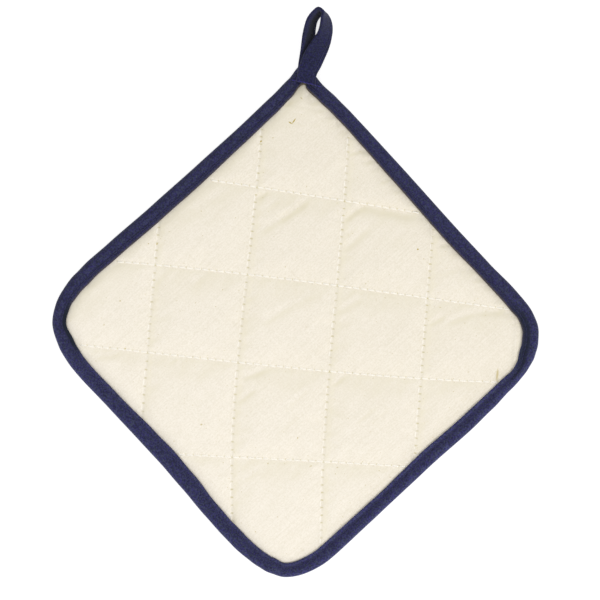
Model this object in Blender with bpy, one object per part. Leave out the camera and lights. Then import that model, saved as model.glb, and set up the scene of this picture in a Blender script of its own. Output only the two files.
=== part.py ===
"""Square quilted pot holder with a bound edge and a hanging loop, lying face up.

Metres, +Z up. The middle of the pad's back rests at the origin and +Y points to the corner that
carries the loop, so the four sides run at 45 degrees to X and Y.

quilted_pad   two cloths and their filling quilted together: crowned fields between sewn channels,
              and an edge drawn in and pressed thin
edge_binding  one tape folded over the pad's edge all the way round
hanging_loop  a strap of the same tape, leaning to one side, its two ends sewn one on the other on
              the corner
"""
import math
from collections import namedtuple

import bmesh
import bpy
import numpy as np
from mathutils import Vector
from mathutils.geometry import delaunay_2d_cdt

MM = 0.001

# The square, measured over its binding.
SIDE = 203.2 * MM
HALF = SIDE / 2

# Between one piece and the next.
GAP = 0.40 * MM

# Corner radii over the binding, in the order of the sides that lead to them, anticlockwise.
CORNER_RADII = {"left": 35.0 * MM, "bottom": 32.0 * MM, "right": 33.0 * MM, "top": 2.5 * MM}
SMALLEST_RADIUS = 0.4 * MM
SIDES = ("upper_left", "lower_left", "lower_right", "upper_right")
FIRST_NORMAL = math.radians(135.0)

# Steps round the outline.
SIDE_STEPS = 15
ROUND_CORNER_STEPS = 8
TOP_CORNER_STEPS = 4

# How the hand-sewn edge wanders: a row for each place, anticlockwise. along is the distance along the
# side from its middle, out how far the edge stands outside the true square, width the tape that shows
# on the face, height the bound edge's thickness. All in millimetres.
EdgeRow = namedtuple("EdgeRow", "side along out width height")
EDGE_ROWS = (
    EdgeRow("upper_left", -97, 2.0, 8.6, 4.9),
    EdgeRow("upper_left", -89, 0.7, 8.5, 5.0),
    EdgeRow("upper_left", -76, 0.0, 8.6, 6.1),
    EdgeRow("upper_left", -50, -0.4, 8.6, 6.1),
    EdgeRow("upper_left", -20, -0.2, 9.2, 6.1),
    EdgeRow("upper_left", 10, 0.2, 9.2, 6.1),
    EdgeRow("upper_left", 42, 1.0, 9.1, 6.1),
    EdgeRow("upper_left", 57, 1.4, 9.1, 6.1),
    EdgeRow("upper_left", 66, 0.9, 9.1, 6.1),
    EdgeRow("upper_left", 77, 0.5, 8.6, 6.1),
    EdgeRow("upper_left", 90, 0.9, 8.0, 6.1),
    EdgeRow("lower_left", -101.6, 1.2, 7.6, 6.1),
    EdgeRow("lower_left", -84, -0.1, 9.0, 6.1),
    EdgeRow("lower_left", -75, -0.4, 9.0, 6.1),
    EdgeRow("lower_left", -58, 0.2, 8.8, 6.1),
    EdgeRow("lower_left", -38, -0.2, 8.8, 6.1),
    EdgeRow("lower_left", -12, -0.4, 9.7, 6.1),
    EdgeRow("lower_left", 3, -0.5, 10.1, 6.1),
    EdgeRow("lower_left", 20, 0.0, 9.9, 6.1),
    EdgeRow("lower_left", 40, 0.8, 9.1, 6.1),
    EdgeRow("lower_left", 52, 1.0, 9.0, 6.1),
    EdgeRow("lower_left", 62, 0.8, 9.1, 6.1),
    EdgeRow("lower_left", 75, -0.3, 8.6, 6.1),
    EdgeRow("lower_left", 82, -0.2, 8.5, 6.1),
    EdgeRow("lower_left", 92, 0.6, 8.6, 6.1),
    EdgeRow("lower_right", -101.6, 1.5, 7.8, 6.1),
    EdgeRow("lower_right", -80, 0.8, 8.4, 6.1),
    EdgeRow("lower_right", -62, 1.4, 8.7, 6.1),
    EdgeRow("lower_right", -39, 1.2, 8.4, 6.1),
    EdgeRow("lower_right", -24, 1.0, 8.1, 6.1),
    EdgeRow("lower_right", -10, 0.9, 8.5, 6.1),
    EdgeRow("lower_right", 6, 0.7, 8.8, 6.1),
    EdgeRow("lower_right", 34, 1.2, 8.6, 6.1),
    EdgeRow("lower_right", 50, 0.7, 8.2, 6.1),
    EdgeRow("lower_right", 64, -0.3, 7.5, 6.1),
    EdgeRow("lower_right", 74, -0.8, 6.7, 6.1),
    EdgeRow("lower_right", 82, -0.6, 7.3, 6.1),
    EdgeRow("lower_right", 92, 0.1, 8.9, 6.1),
    EdgeRow("upper_right", -101.6, 0.7, 9.0, 6.1),
    EdgeRow("upper_right", -91, 1.3, 9.0, 6.1),
    EdgeRow("upper_right", -82, 0.9, 8.8, 6.1),
    EdgeRow("upper_right", -71, 0.5, 9.3, 6.1),
    EdgeRow("upper_right", -61, 0.7, 9.2, 6.1),
    EdgeRow("upper_right", -44, 0.0, 8.6, 6.1),
    EdgeRow("upper_right", -20, -0.2, 9.0, 6.1),
    EdgeRow("upper_right", 29, 0.2, 8.6, 6.1),
    EdgeRow("upper_right", 52, 0.2, 8.2, 6.1),
    EdgeRow("upper_right", 66, 0.1, 7.9, 6.1),
    EdgeRow("upper_right", 77, -0.3, 7.7, 6.1),
    EdgeRow("upper_right", 88, -1.1, 7.6, 5.0),
    EdgeRow("upper_right", 97, -0.5, 8.8, 4.9),
)

# The folded tape's thickness over the face and under the back, in millimetres.
FACE_CLOTH = 1.5
BACK_CLOTH = 1.0

# The tape's section, a row for each point of its outline from the face round to the back. A point lies
# share of the visible width plus inset in from the outer edge, and at level of the height plus lift.
# inset and lift are in millimetres.
SectionRow = namedtuple("SectionRow", "place share inset level lift")
BINDING_SECTION = (
    SectionRow("lip_crown", 1, -1.2, 1, -0.15),
    SectionRow("lip_face", 1, -0.4, 1, -0.55),
    SectionRow("lip_nose", 1, 0.0, 1, -1.0),
    SectionRow("lip_under", 1, -0.3, 1, -FACE_CLOTH),
    SectionRow("arm_under", 0, 2.6, 1, -FACE_CLOTH),
    SectionRow("fold_inside_high", 0, 1.7, 1, -2.1),
    SectionRow("fold_inside", 0, 1.3, 0.5, 0.0),
    SectionRow("fold_inside_low", 0, 1.7, 0, 1.5),
    SectionRow("back_arm_over", 0, 2.6, 0, BACK_CLOTH),
    SectionRow("back_lip_over", 1, -0.3, 0, BACK_CLOTH),
    SectionRow("back_lip_nose", 1, 0.0, 0, 0.5),
    SectionRow("back_lip", 1, -0.4, 0, 0.0),
    SectionRow("back_roll", 0, 2.0, 0, 0.0),
    SectionRow("fold_low", 0, 0.6, 0, 0.9),
    SectionRow("fold", 0, 0.0, 0.5, 0.0),
    SectionRow("fold_high", 0, 0.6, 1, -0.9),
    SectionRow("roll_crown", 0, 2.4, 1, 0.0),
    SectionRow("roll_inside", 1, -3.6, 1, -0.1),
    SectionRow("stitch_ditch", 1, -2.4, 1, -0.5),
)

# The pad under its binding: its cut edge, the pressed band inside it, and the rows of points that follow
# the binding's lip at set distances inside it.
RIM_INSET = 2.1 * MM
RIM_EDGE_SHARE = 0.24
PRESSED_INSET = 3.2 * MM
PRESSED_TOP_DROP = FACE_CLOTH * MM + GAP
PRESSED_BOTTOM = BACK_CLOTH * MM + GAP
LIP_ROWS = (2.5 * MM, 6.0 * MM)

# The pad's crowns.
CROWN_HEIGHT = 8.0 * MM
CHANNEL_HEIGHT = 4.6 * MM
CROWN_REACH = 24.0 * MM
EDGE_REACH = 14.0 * MM
BACK_FULLNESS = 2.0

# The quilting lines, each sewn right across the cloth before it was cut and bound. A line along y
# stands at an x and a line along x at a y, here at five stations along its run, in millimetres.
QuiltRow = namedtuple("QuiltRow", "line along far_back back middle front far_front")
STATIONS = (-110 * MM, -55 * MM, 0.0, 55 * MM, 110 * MM)
QUILT_ROWS = (
    QuiltRow("first_up", "y", -82.0, -80.0, -78.0, -75.2, -72.0),
    QuiltRow("second_up", "y", -28.3, -30.9, -28.8, -25.1, -22.4),
    QuiltRow("third_up", "y", 19.0, 18.6, 20.0, 23.1, 24.3),
    QuiltRow("fourth_up", "y", 65.5, 67.8, 69.2, 71.8, 74.0),
    QuiltRow("first_across", "x", -68.6, -69.2, -68.9, -70.2, -71.5),
    QuiltRow("second_across", "x", -12.8, -16.7, -19.6, -22.4, -22.6),
    QuiltRow("third_across", "x", 33.2, 31.0, 27.1, 22.2, 17.0),
    QuiltRow("fourth_across", "x", 84.0, 79.2, 73.8, 67.0, 61.0),
)

# The pattern's grid: its places across a field between two quilting lines, as shares of the field, and
# beyond the outermost lines, as shares of the nearest field.
FIELD_SHARES = (0.05, 0.15, 0.35, 0.65, 0.85, 0.95)
BEYOND_SHARES = (0.05, 0.15, 0.35, 0.6, 0.9, 1.2)
CROSSING_PASSES = 4

# Points of the pattern nearer than this are one point.
PATTERN_TOLERANCE = 0.001 * MM

# Folds sharper than this show as edges.
SHARP_FOLD = math.radians(50.0)

# The loop's strap, a row for each section from the sewn end below, round the loop, to the end sewn on
# top of it. upper and lower are the strap's two edges, each an x, y and height, and thick is its
# thickness there. All in millimetres.
LoopRow = namedtuple("LoopRow", "place upper_x upper_y upper_z lower_x lower_y lower_z thick")
LOOP_ROWS = (
    LoopRow("under_end", -5.0, 133.9, 5.9, 5.3, 131.8, 5.9, 1.3),
    LoopRow("under_corner", -4.8, 139.2, 6.0, 5.4, 137.7, 6.0, 1.3),
    LoopRow("left_neck", -4.4, 144.6, 6.1, 5.9, 143.5, 5.7, 1.4),
    LoopRow("left_foot", -3.9, 149.2, 6.2, 6.0, 148.4, 3.3, 1.7),
    LoopRow("left_low", -3.5, 153.8, 7.3, 4.8, 153.4, 1.2, 1.7),
    LoopRow("left_middle", -3.1, 158.7, 8.3, 4.0, 158.7, 1.0, 1.7),
    LoopRow("left_high", -2.3, 163.3, 8.6, 4.1, 163.6, 1.0, 1.7),
    LoopRow("left_shoulder", -1.1, 167.6, 8.9, 4.7, 166.8, 1.0, 1.7),
    LoopRow("left_crown", 1.2, 171.5, 9.2, 5.7, 168.9, 1.0, 1.7),
    LoopRow("tip", 4.5, 174.3, 9.4, 7.2, 170.5, 1.0, 1.7),
    LoopRow("right_crown", 7.0, 171.9, 9.6, 9.6, 171.5, 1.0, 1.7),
    LoopRow("right_shoulder", 6.8, 168.8, 9.2, 11.6, 169.2, 1.0, 1.7),
    LoopRow("right_high", 6.7, 166.1, 8.8, 12.8, 165.9, 1.0, 1.7),
    LoopRow("right_middle", 6.1, 163.4, 8.1, 13.2, 162.3, 1.0, 1.7),
    LoopRow("right_low", 4.8, 160.4, 7.1, 12.9, 158.8, 1.0, 1.7),
    LoopRow("right_turn", 2.6, 156.9, 6.3, 12.0, 155.1, 1.6, 1.7),
    LoopRow("right_foot", 0.3, 152.9, 7.2, 10.6, 150.9, 4.6, 1.7),
    LoopRow("crossing", -1.9, 148.5, 8.0, 9.0, 146.8, 6.4, 1.7),
    LoopRow("right_neck", -3.5, 143.6, 7.7, 7.2, 142.2, 7.3, 1.5),
    LoopRow("over_corner", -4.6, 138.4, 7.6, 5.6, 137.3, 7.6, 1.3),
    LoopRow("over_end", -5.3, 133.9, 7.6, 5.0, 131.9, 7.6, 1.3),
)
LOOP_STEPS_PER_ROW = 3

# Colour, roughness and metallic value of each piece's cloth.
CLOTHS = {
    "natural_cotton": ((0.86, 0.82, 0.70, 1.0), 0.95, 0.0),
    "navy_tape": ((0.028, 0.026, 0.085, 1.0), 0.85, 0.0),
}


def clear_scene():
    """Remove whatever the scene holds."""
    for item in list(bpy.data.objects):
        bpy.data.objects.remove(item, do_unlink=True)


def cloth_material(name):
    """Return a Principled material with the named cloth's colour and finish."""
    colour, roughness, metallic = CLOTHS[name]
    material = bpy.data.materials.new(name)
    material.use_nodes = True
    shader = material.node_tree.nodes["Principled BSDF"]
    shader.inputs["Base Color"].default_value = colour
    shader.inputs["Roughness"].default_value = roughness
    shader.inputs["Metallic"].default_value = metallic
    material.diffuse_color = colour
    return material


def add_object(name, mesh_builder, cloth):
    """Turn a filled bmesh into a smooth-shaded object of the named cloth."""
    mesh = bpy.data.meshes.new(name)
    mesh_builder.to_mesh(mesh)
    mesh_builder.free()
    mesh.shade_smooth()
    mesh.set_sharp_from_angle(angle=SHARP_FOLD)
    mesh.materials.append(cloth_material(cloth))
    item = bpy.data.objects.new(name, mesh)
    bpy.context.collection.objects.link(item)
    return item


def direction(angle):
    """Return the unit vector at an angle in the plan."""
    return np.array([math.cos(angle), math.sin(angle)])


# ---- the outline ---------------------------------------------------------------------------------

Station = namedtuple("Station", "side fraction is_corner turn")


def outline_stations():
    """List the stations round the outline, anticlockwise from the top corner.

    turn counts sides: it is a whole number at a corner's middle and a half at a side's middle.
    """
    stations = []
    corners = tuple(CORNER_RADII.values())
    for side in range(len(SIDES)):
        before = corners[side - 1]
        after = corners[side]
        first = side + before / SIDE
        last = side + 1 - after / SIDE
        for step in range(SIDE_STEPS):
            fraction = step / SIDE_STEPS
            stations.append(Station(side, fraction, False, first + (last - first) * fraction))
        steps = TOP_CORNER_STEPS if side == len(SIDES) - 1 else ROUND_CORNER_STEPS
        turn_length = 2 * after / SIDE
        for step in range(steps):
            fraction = step / steps
            stations.append(Station(side, fraction, True, last + turn_length * fraction))
    return stations


def edge_values(turn):
    """Return out, width and height at a place round the edge, blended smoothly between its rows."""
    places = [SIDES.index(row.side) + 0.5 + row.along * MM / SIDE for row in EDGE_ROWS]
    turn = turn % len(SIDES)
    after = next((index for index, place in enumerate(places) if place > turn), 0)
    before = after - 1
    span = (places[after] - places[before]) % len(SIDES)
    share = ((turn - places[before]) % len(SIDES)) / span
    blend = share * share * (3 - 2 * share)
    first = np.array(EDGE_ROWS[before][2:])
    second = np.array(EDGE_ROWS[after][2:])
    return (first + (second - first) * blend) * MM


def outline_point(station, inset, out):
    """Return the plan point of a station on the outline drawn in by inset.

    The outline is a square of half side HALF - inset whose corner arcs shrink with the inset but keep
    the smallest radius, and the whole is moved out along its normal by out.
    """
    radii = [max(radius - inset, SMALLEST_RADIUS) for radius in CORNER_RADII.values()]
    half = HALF - inset
    normal_angle = FIRST_NORMAL + station.side * math.pi / 2
    normal = direction(normal_angle)
    tangent = direction(normal_angle + math.pi / 2)
    after = radii[station.side]
    if station.is_corner:
        centre = normal * (half - after) + tangent * (half - after)
        outward = direction(normal_angle + station.fraction * math.pi / 2)
        return centre + outward * (after + out)
    start = radii[station.side - 1] - half
    stop = half - after
    return normal * (half + out) + tangent * (start + (stop - start) * station.fraction)


# ---- the quilting --------------------------------------------------------------------------------

def line_places(row, along):
    """Return a quilting line's place across its run, at distances along it: a cubic through its rows."""
    places = np.array(row[2:]) * MM
    curve = np.polynomial.Polynomial.fit(STATIONS, places, 3)
    return curve(np.asarray(along, dtype=float))


def quilt_lines(along):
    """Return the rows of the quilting lines that run along the named axis."""
    return [row for row in QUILT_ROWS if row.along == along]


def grid_shares(count):
    """List grid places across and beyond the fields between count lines: whole numbers are the lines."""
    shares = [-share for share in reversed(BEYOND_SHARES)]
    for field in range(count - 1):
        shares.append(float(field))
        shares.extend(field + share for share in FIELD_SHARES)
    shares.append(float(count - 1))
    shares.extend(count - 1 + share for share in BEYOND_SHARES)
    return shares


def grid_place(rows, share, along):
    """Return the place across at a grid share, blended between the two quilting lines beside it."""
    low = min(max(int(math.floor(share)), 0), len(rows) - 2)
    first = line_places(rows[low], along)
    second = line_places(rows[low + 1], along)
    return float(first + (second - first) * (share - low))


def quilt_grid():
    """Return the plan points of a grid that follows the quilting lines, and the seams along the lines.

    A seam joins two grid indices, each a pair of a place across and a place along.
    """
    up_rows = quilt_lines("y")
    across_rows = quilt_lines("x")
    up_shares = grid_shares(len(up_rows))
    across_shares = grid_shares(len(across_rows))
    points = {}
    seams = []
    for column, up_share in enumerate(up_shares):
        for row, across_share in enumerate(across_shares):
            x = 0.0
            y = 0.0
            for _ in range(CROSSING_PASSES):
                x = grid_place(up_rows, up_share, y)
                y = grid_place(across_rows, across_share, x)
            points[column, row] = (x, y)
            if up_share in range(len(up_rows)):
                seams.append(((column, row), (column, row + 1)))
            if across_share in range(len(across_rows)):
                seams.append(((column, row), (column + 1, row)))
    return points, seams


def distance_to_lines(points, along):
    """Return each point's distance to the nearest quilting line that runs along the named axis."""
    run, across = (points[:, 1], points[:, 0]) if along == "y" else (points[:, 0], points[:, 1])
    gaps = [np.abs(across - line_places(row, run)) for row in quilt_lines(along)]
    return np.min(gaps, axis=0)


def distance_inside(points, ring):
    """Return each point's distance inside a closed ring of plan points, negative outside it."""
    starts = ring
    stops = np.roll(ring, -1, axis=0)
    edges = stops - starts
    offsets = points[:, None, :] - starts[None, :, :]
    share = np.clip((offsets * edges).sum(-1) / (edges ** 2).sum(-1), 0.0, 1.0)
    gaps = np.linalg.norm(offsets - share[..., None] * edges, axis=-1)
    rises = (starts[:, 1] > points[:, None, 1]) != (stops[:, 1] > points[:, None, 1])
    slopes = np.divide(edges[:, 0], edges[:, 1], out=np.zeros(len(ring)), where=edges[:, 1] != 0.0)
    crossings = starts[:, 0] + (points[:, None, 1] - starts[:, 1]) * slopes
    inside = (rises & (points[:, None, 0] < crossings)).sum(-1) % 2 == 1
    return np.where(inside, 1.0, -1.0) * gaps.min(-1)


def swell(distance, reach):
    """Return how full the pad is at a distance from a sewn line: 0 on it, 1 at its reach and past it."""
    share = np.clip(distance / reach, 0.0, 1.0)
    return 1.0 - (1.0 - share) ** 2


# ---- the pieces ----------------------------------------------------------------------------------

def build_pad():
    """Build the quilted pad: its flat pattern, triangulated along its sewn lines, raised to height."""
    stations = outline_stations()
    values = np.array([edge_values(station.turn) for station in stations])
    insets = [np.full(len(stations), RIM_INSET), np.full(len(stations), PRESSED_INSET), values[:, 1]]
    insets += [values[:, 1] + row for row in LIP_ROWS]
    rings = []
    for inset in insets:
        ring = [outline_point(s, depth, out) for s, depth, out in zip(stations, inset, values[:, 0])]
        rings.append(np.array(ring))
    rim = rings[0]
    lip = rings[2]

    count = len(stations)
    plan = [Vector(point) for ring in rings for point in ring]
    seams = []
    for start in (0, count, 2 * count):
        seams += [(start + step, start + (step + 1) % count) for step in range(count)]
    grid, line_seams = quilt_grid()
    depths = distance_inside(np.array(list(grid.values())), rings[-1])
    number = {}
    for (place, point), depth in zip(grid.items(), depths):
        if depth > LIP_ROWS[0]:
            number[place] = len(plan)
            plan.append(Vector(point))
    seams += [(number[one], number[other]) for one, other in line_seams
              if one in number and other in number]
    pattern = delaunay_2d_cdt(plan, seams, [], 0, PATTERN_TOLERANCE, True)
    points = np.array([tuple(point) for point in pattern[0]])
    faces = np.array([tuple(face) for face in pattern[2]])
    faces = faces[distance_inside(points[faces].mean(axis=1), rim) > 0.0]
    found = {source: index for index, sources in enumerate(pattern[3]) for source in sources}
    edge = [found[index] for index in range(count)]

    settle = swell(distance_inside(points, lip), EDGE_REACH)
    fill = settle * swell(distance_to_lines(points, "y"), CROWN_REACH)
    fill *= swell(distance_to_lines(points, "x"), CROWN_REACH)
    nearest = np.linalg.norm(points[:, None, :] - lip[None, :, :], axis=-1).argmin(-1)
    pressed_top = values[nearest, 2] - PRESSED_TOP_DROP
    sewn_top = pressed_top + (CHANNEL_HEIGHT - pressed_top) * settle
    top = sewn_top + (CROWN_HEIGHT - CHANNEL_HEIGHT) * fill
    bottom = np.maximum(PRESSED_BOTTOM * (1.0 - BACK_FULLNESS * fill), 0.0)
    middle = (pressed_top[edge] + PRESSED_BOTTOM) / 2
    half_edge = (pressed_top[edge] - PRESSED_BOTTOM) * RIM_EDGE_SHARE
    top[edge] = middle + half_edge
    bottom[edge] = middle - half_edge

    builder = bmesh.new()
    upper = [builder.verts.new((x, y, z)) for (x, y), z in zip(points, top)]
    lower = [builder.verts.new((x, y, z)) for (x, y), z in zip(points, bottom)]
    for face in faces:
        builder.faces.new([upper[index] for index in face])
        builder.faces.new([lower[index] for index in reversed(face)])
    for here, following in zip(edge, edge[1:] + edge[:1]):
        builder.faces.new((upper[here], lower[here], lower[following], upper[following]))
    bmesh.ops.triangulate(builder, faces=builder.faces[:])
    bmesh.ops.recalc_face_normals(builder, faces=builder.faces[:])
    return add_object("quilted_pad", builder, "natural_cotton")


def build_binding():
    """Build the binding: its section carried round the outline, folded over the pad's edge."""
    builder = bmesh.new()
    rings = []
    for station in outline_stations():
        out, width, height = edge_values(station.turn)
        ring = []
        for row in BINDING_SECTION:
            inset = row.share * width + row.inset * MM
            x, y = outline_point(station, inset, out)
            ring.append(builder.verts.new((x, y, row.level * height + row.lift * MM)))
        rings.append(ring)
    for index, ring in enumerate(rings):
        following = rings[(index + 1) % len(rings)]
        for step in range(len(ring)):
            after = (step + 1) % len(ring)
            builder.faces.new((ring[step], ring[after], following[after], following[step]))
    bmesh.ops.triangulate(builder, faces=builder.faces[:])
    bmesh.ops.recalc_face_normals(builder, faces=builder.faces[:])
    return add_object("edge_binding", builder, "navy_tape")


def smooth_rows(rows, steps):
    """Return rows of numbers blended smoothly through the given ones, steps to each interval."""
    table = np.array(rows, dtype=float)
    padded = np.vstack([2 * table[0] - table[1], table, 2 * table[-1] - table[-2]])
    blended = []
    for index in range(len(table) - 1):
        before, start, stop, after = padded[index:index + 4]
        for step in range(steps):
            t = step / steps
            blended.append(0.5 * (2 * start + (stop - before) * t
                                  + (2 * before - 5 * start + 4 * stop - after) * t ** 2
                                  + (3 * start - before - 3 * stop + after) * t ** 3))
    blended.append(table[-1])
    return np.array(blended)


def build_loop():
    """Build the loop: a round-edged strap section carried along the rows of its two edges."""
    rows = smooth_rows([row[1:] for row in LOOP_ROWS], LOOP_STEPS_PER_ROW) * MM
    upper = rows[:, 0:3]
    lower = rows[:, 3:6]
    thick = rows[:, 6]
    across = upper - lower
    plan_length = np.linalg.norm(across[:, :2], axis=1)
    inward = np.zeros_like(across)
    inward[:, :2] = across[:, :2] / plan_length[:, None] * (thick / 2)[:, None]
    upper = upper - inward
    lower = lower + inward
    across = upper - lower
    across /= np.linalg.norm(across, axis=1)[:, None]
    along = np.gradient((upper + lower) / 2, axis=0)
    facing = np.cross(along, across)
    facing /= np.linalg.norm(facing, axis=1)[:, None]

    builder = bmesh.new()
    rings = []
    for index in range(len(rows)):
        half = thick[index] / 2
        diagonal = half * math.sqrt(0.5)
        face = facing[index]
        side = across[index]
        corners = [upper[index] + face * half,
                   upper[index] + face * diagonal + side * diagonal,
                   upper[index] - face * diagonal + side * diagonal,
                   upper[index] - face * half,
                   lower[index] - face * half,
                   lower[index] - face * diagonal - side * diagonal,
                   lower[index] + face * diagonal - side * diagonal,
                   lower[index] + face * half]
        rings.append([builder.verts.new(corner) for corner in corners])
    for ring, following in zip(rings, rings[1:]):
        for step in range(len(ring)):
            after = (step + 1) % len(ring)
            builder.faces.new((ring[step], ring[after], following[after], following[step]))
    builder.faces.new(list(reversed(rings[0])))
    builder.faces.new(rings[-1])
    bmesh.ops.triangulate(builder, faces=builder.faces[:])
    bmesh.ops.recalc_face_normals(builder, faces=builder.faces[:])
    return add_object("hanging_loop", builder, "navy_tape")


clear_scene()
build_pad()
build_binding()
build_loop()
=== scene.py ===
"""Quilted pot holder lying face up: calico pad, folded tape binding, hanging loop and their stitches.

Metres, +Z up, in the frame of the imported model: the middle of the pad's back rests at the origin and
+Y points to the corner that carries the loop, so the four sides run at 45 degrees to X and Y.
"""
import logging
import math
import operator
from dataclasses import dataclass, field
from enum import Enum
from functools import cache, reduce
from typing import Iterable, NamedTuple, Sequence

import bpy
import numpy as np
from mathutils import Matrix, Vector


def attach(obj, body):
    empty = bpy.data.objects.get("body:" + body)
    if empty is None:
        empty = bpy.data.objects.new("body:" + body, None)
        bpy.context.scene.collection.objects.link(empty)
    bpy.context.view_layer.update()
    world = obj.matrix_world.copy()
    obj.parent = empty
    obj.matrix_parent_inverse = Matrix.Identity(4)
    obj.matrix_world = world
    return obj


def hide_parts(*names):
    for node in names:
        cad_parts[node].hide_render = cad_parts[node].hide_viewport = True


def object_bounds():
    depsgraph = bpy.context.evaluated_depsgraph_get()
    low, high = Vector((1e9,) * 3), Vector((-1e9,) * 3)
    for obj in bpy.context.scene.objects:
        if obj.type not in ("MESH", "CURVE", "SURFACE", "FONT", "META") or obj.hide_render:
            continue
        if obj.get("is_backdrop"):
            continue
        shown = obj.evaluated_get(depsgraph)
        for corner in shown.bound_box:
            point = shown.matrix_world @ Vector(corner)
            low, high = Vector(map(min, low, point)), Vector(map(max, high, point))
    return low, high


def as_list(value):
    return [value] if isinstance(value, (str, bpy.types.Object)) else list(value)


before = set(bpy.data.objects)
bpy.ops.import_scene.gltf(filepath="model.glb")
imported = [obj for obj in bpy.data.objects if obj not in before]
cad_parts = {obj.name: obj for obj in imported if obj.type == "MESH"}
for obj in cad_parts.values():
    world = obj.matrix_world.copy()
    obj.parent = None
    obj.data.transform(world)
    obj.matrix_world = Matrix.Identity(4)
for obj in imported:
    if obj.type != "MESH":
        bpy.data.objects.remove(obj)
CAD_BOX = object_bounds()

LOG = logging.getLogger("pot_holder")
MM = 0.001
QUARTER = math.pi / 2
TINY = 1e-12
RIPPLE_WAVES = 14
BODY = "root"

Array = np.ndarray
Material = bpy.types.Material
Piece = bpy.types.Object
Socket = bpy.types.NodeSocket
Settings = dict[str, object]
Inputs = dict[str | int, object]
Colour = tuple[float, float, float, float]
Triple = tuple[float, float, float]
Span = tuple[float, float]


class Slot(Enum):
    """The record's material slots."""

    CALICO = "natural_cotton"
    TAPE = "navy_tape"


class Side(Enum):
    """The sides of the square, anticlockwise from the one left of the loop."""

    UPPER_LEFT = 0
    LOWER_LEFT = 1
    LOWER_RIGHT = 2
    UPPER_RIGHT = 3


class Run(Enum):
    """The way that a quilting line runs; its value is the axis that the line's place is measured on."""

    UP = 0
    ACROSS = 1


class Face(Enum):
    """The pot holder's two faces, each with its way out along Z."""

    FRONT = 1.0
    BACK = -1.0

    @property
    def out(self) -> Array:
        """Return the way out of the face."""
        return np.array([0.0, 0.0, self.value])


# ---- tables ----

def rows_of(kind: type, rows: Sequence[tuple]) -> tuple:
    """Return a table: plain tuples as rows with named columns."""
    return tuple(kind(*row) for row in rows)


class EdgeRow(NamedTuple):
    """How the hand-sewn edge lies at one place of a side, in millimetres.

    along is the distance along the side from its middle, out how far the edge stands outside the true
    square, width the tape that shows, ditch how deep the topstitching draws the tape in, and height
    the bound edge's thickness.
    """

    along: float
    out: float
    width: float
    ditch: float
    height: float = 6.1


EDGE_ROWS = {
    Side.UPPER_LEFT: rows_of(EdgeRow, (
        (-97, 2.0, 8.6, 0.80, 4.9), (-89, 0.7, 8.5, 0.80, 5.0), (-76, 0.0, 8.6, 0.55),
        (-50, -0.4, 8.6, 0.30), (-20, -0.2, 9.2, 0.25), (10, 0.2, 9.2, 0.25), (42, 1.0, 9.1, 0.30),
        (57, 1.4, 9.1, 0.35), (66, 0.9, 9.1, 0.40), (77, 0.5, 8.6, 0.50), (90, 0.9, 8.0, 0.70),
    )),
    Side.LOWER_LEFT: rows_of(EdgeRow, (
        (-101.6, 1.2, 7.6, 0.80), (-84, -0.1, 9.0, 0.75), (-75, -0.4, 9.0, 0.55), (-58, 0.2, 8.8, 0.35),
        (-38, -0.2, 8.8, 0.30), (-12, -0.4, 9.7, 0.30), (3, -0.5, 10.1, 0.35), (20, 0.0, 9.9, 0.35),
        (40, 0.8, 9.1, 0.35), (52, 1.0, 9.0, 0.40), (62, 0.8, 9.1, 0.45), (75, -0.3, 8.6, 0.55),
        (82, -0.2, 8.5, 0.60), (92, 0.6, 8.6, 0.70),
    )),
    Side.LOWER_RIGHT: rows_of(EdgeRow, (
        (-101.6, 1.5, 7.8, 0.80), (-80, 0.8, 8.4, 0.95), (-62, 1.4, 8.7, 0.95), (-39, 1.2, 8.4, 0.95),
        (-24, 1.0, 8.1, 0.95), (-10, 0.9, 8.5, 0.95), (6, 0.7, 8.8, 0.95), (34, 1.2, 8.6, 0.90),
        (50, 0.7, 8.2, 0.90), (64, -0.3, 7.5, 0.90), (74, -0.8, 6.7, 0.90), (82, -0.6, 7.3, 0.95),
        (92, 0.1, 8.9, 1.00),
    )),
    Side.UPPER_RIGHT: rows_of(EdgeRow, (
        (-101.6, 0.7, 9.0, 1.05), (-91, 1.3, 9.0, 0.95), (-82, 0.9, 8.8, 0.80), (-71, 0.5, 9.3, 0.60),
        (-61, 0.7, 9.2, 0.40), (-44, 0.0, 8.6, 0.35), (-20, -0.2, 9.0, 0.30), (29, 0.2, 8.6, 0.30),
        (52, 0.2, 8.2, 0.30), (66, 0.1, 7.9, 0.30), (77, -0.3, 7.7, 0.30), (88, -1.1, 7.6, 0.35, 5.0),
        (97, -0.5, 8.8, 0.45, 4.9),
    )),
}


class QuiltRow(NamedTuple):
    """One quilting line: how it runs, and its place across at the stations, in millimetres."""

    run: Run
    far_back: float
    back: float
    middle: float
    front: float
    far_front: float


STATIONS = (-110.0, -55.0, 0.0, 55.0, 110.0)
QUILT_ROWS = rows_of(QuiltRow, (
    (Run.UP, -82.0, -80.0, -78.0, -75.2, -72.0),
    (Run.UP, -28.3, -30.9, -28.8, -25.1, -22.4),
    (Run.UP, 19.0, 18.6, 20.0, 23.1, 24.3),
    (Run.UP, 65.5, 67.8, 69.2, 71.8, 74.0),
    (Run.ACROSS, -68.6, -69.2, -68.9, -70.2, -71.5),
    (Run.ACROSS, -12.8, -16.7, -19.6, -22.4, -22.6),
    (Run.ACROSS, 33.2, 31.0, 27.1, 22.2, 17.0),
    (Run.ACROSS, 84.0, 79.2, 73.8, 67.0, 61.0),
))


class SectionRow(NamedTuple):
    """One place on the tape's middle surface, from its turned-in edge on the face round to the back.

    The place lies share of the visible width plus inset in from the outer edge, at level of the edge's
    height plus lift less ditch times the topstitching's depth. steps is how many points lead from it to
    the next row. inset and lift are in millimetres.
    """

    place: str
    share: float
    inset: float
    level: float
    lift: float
    ditch: float
    steps: int


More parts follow.
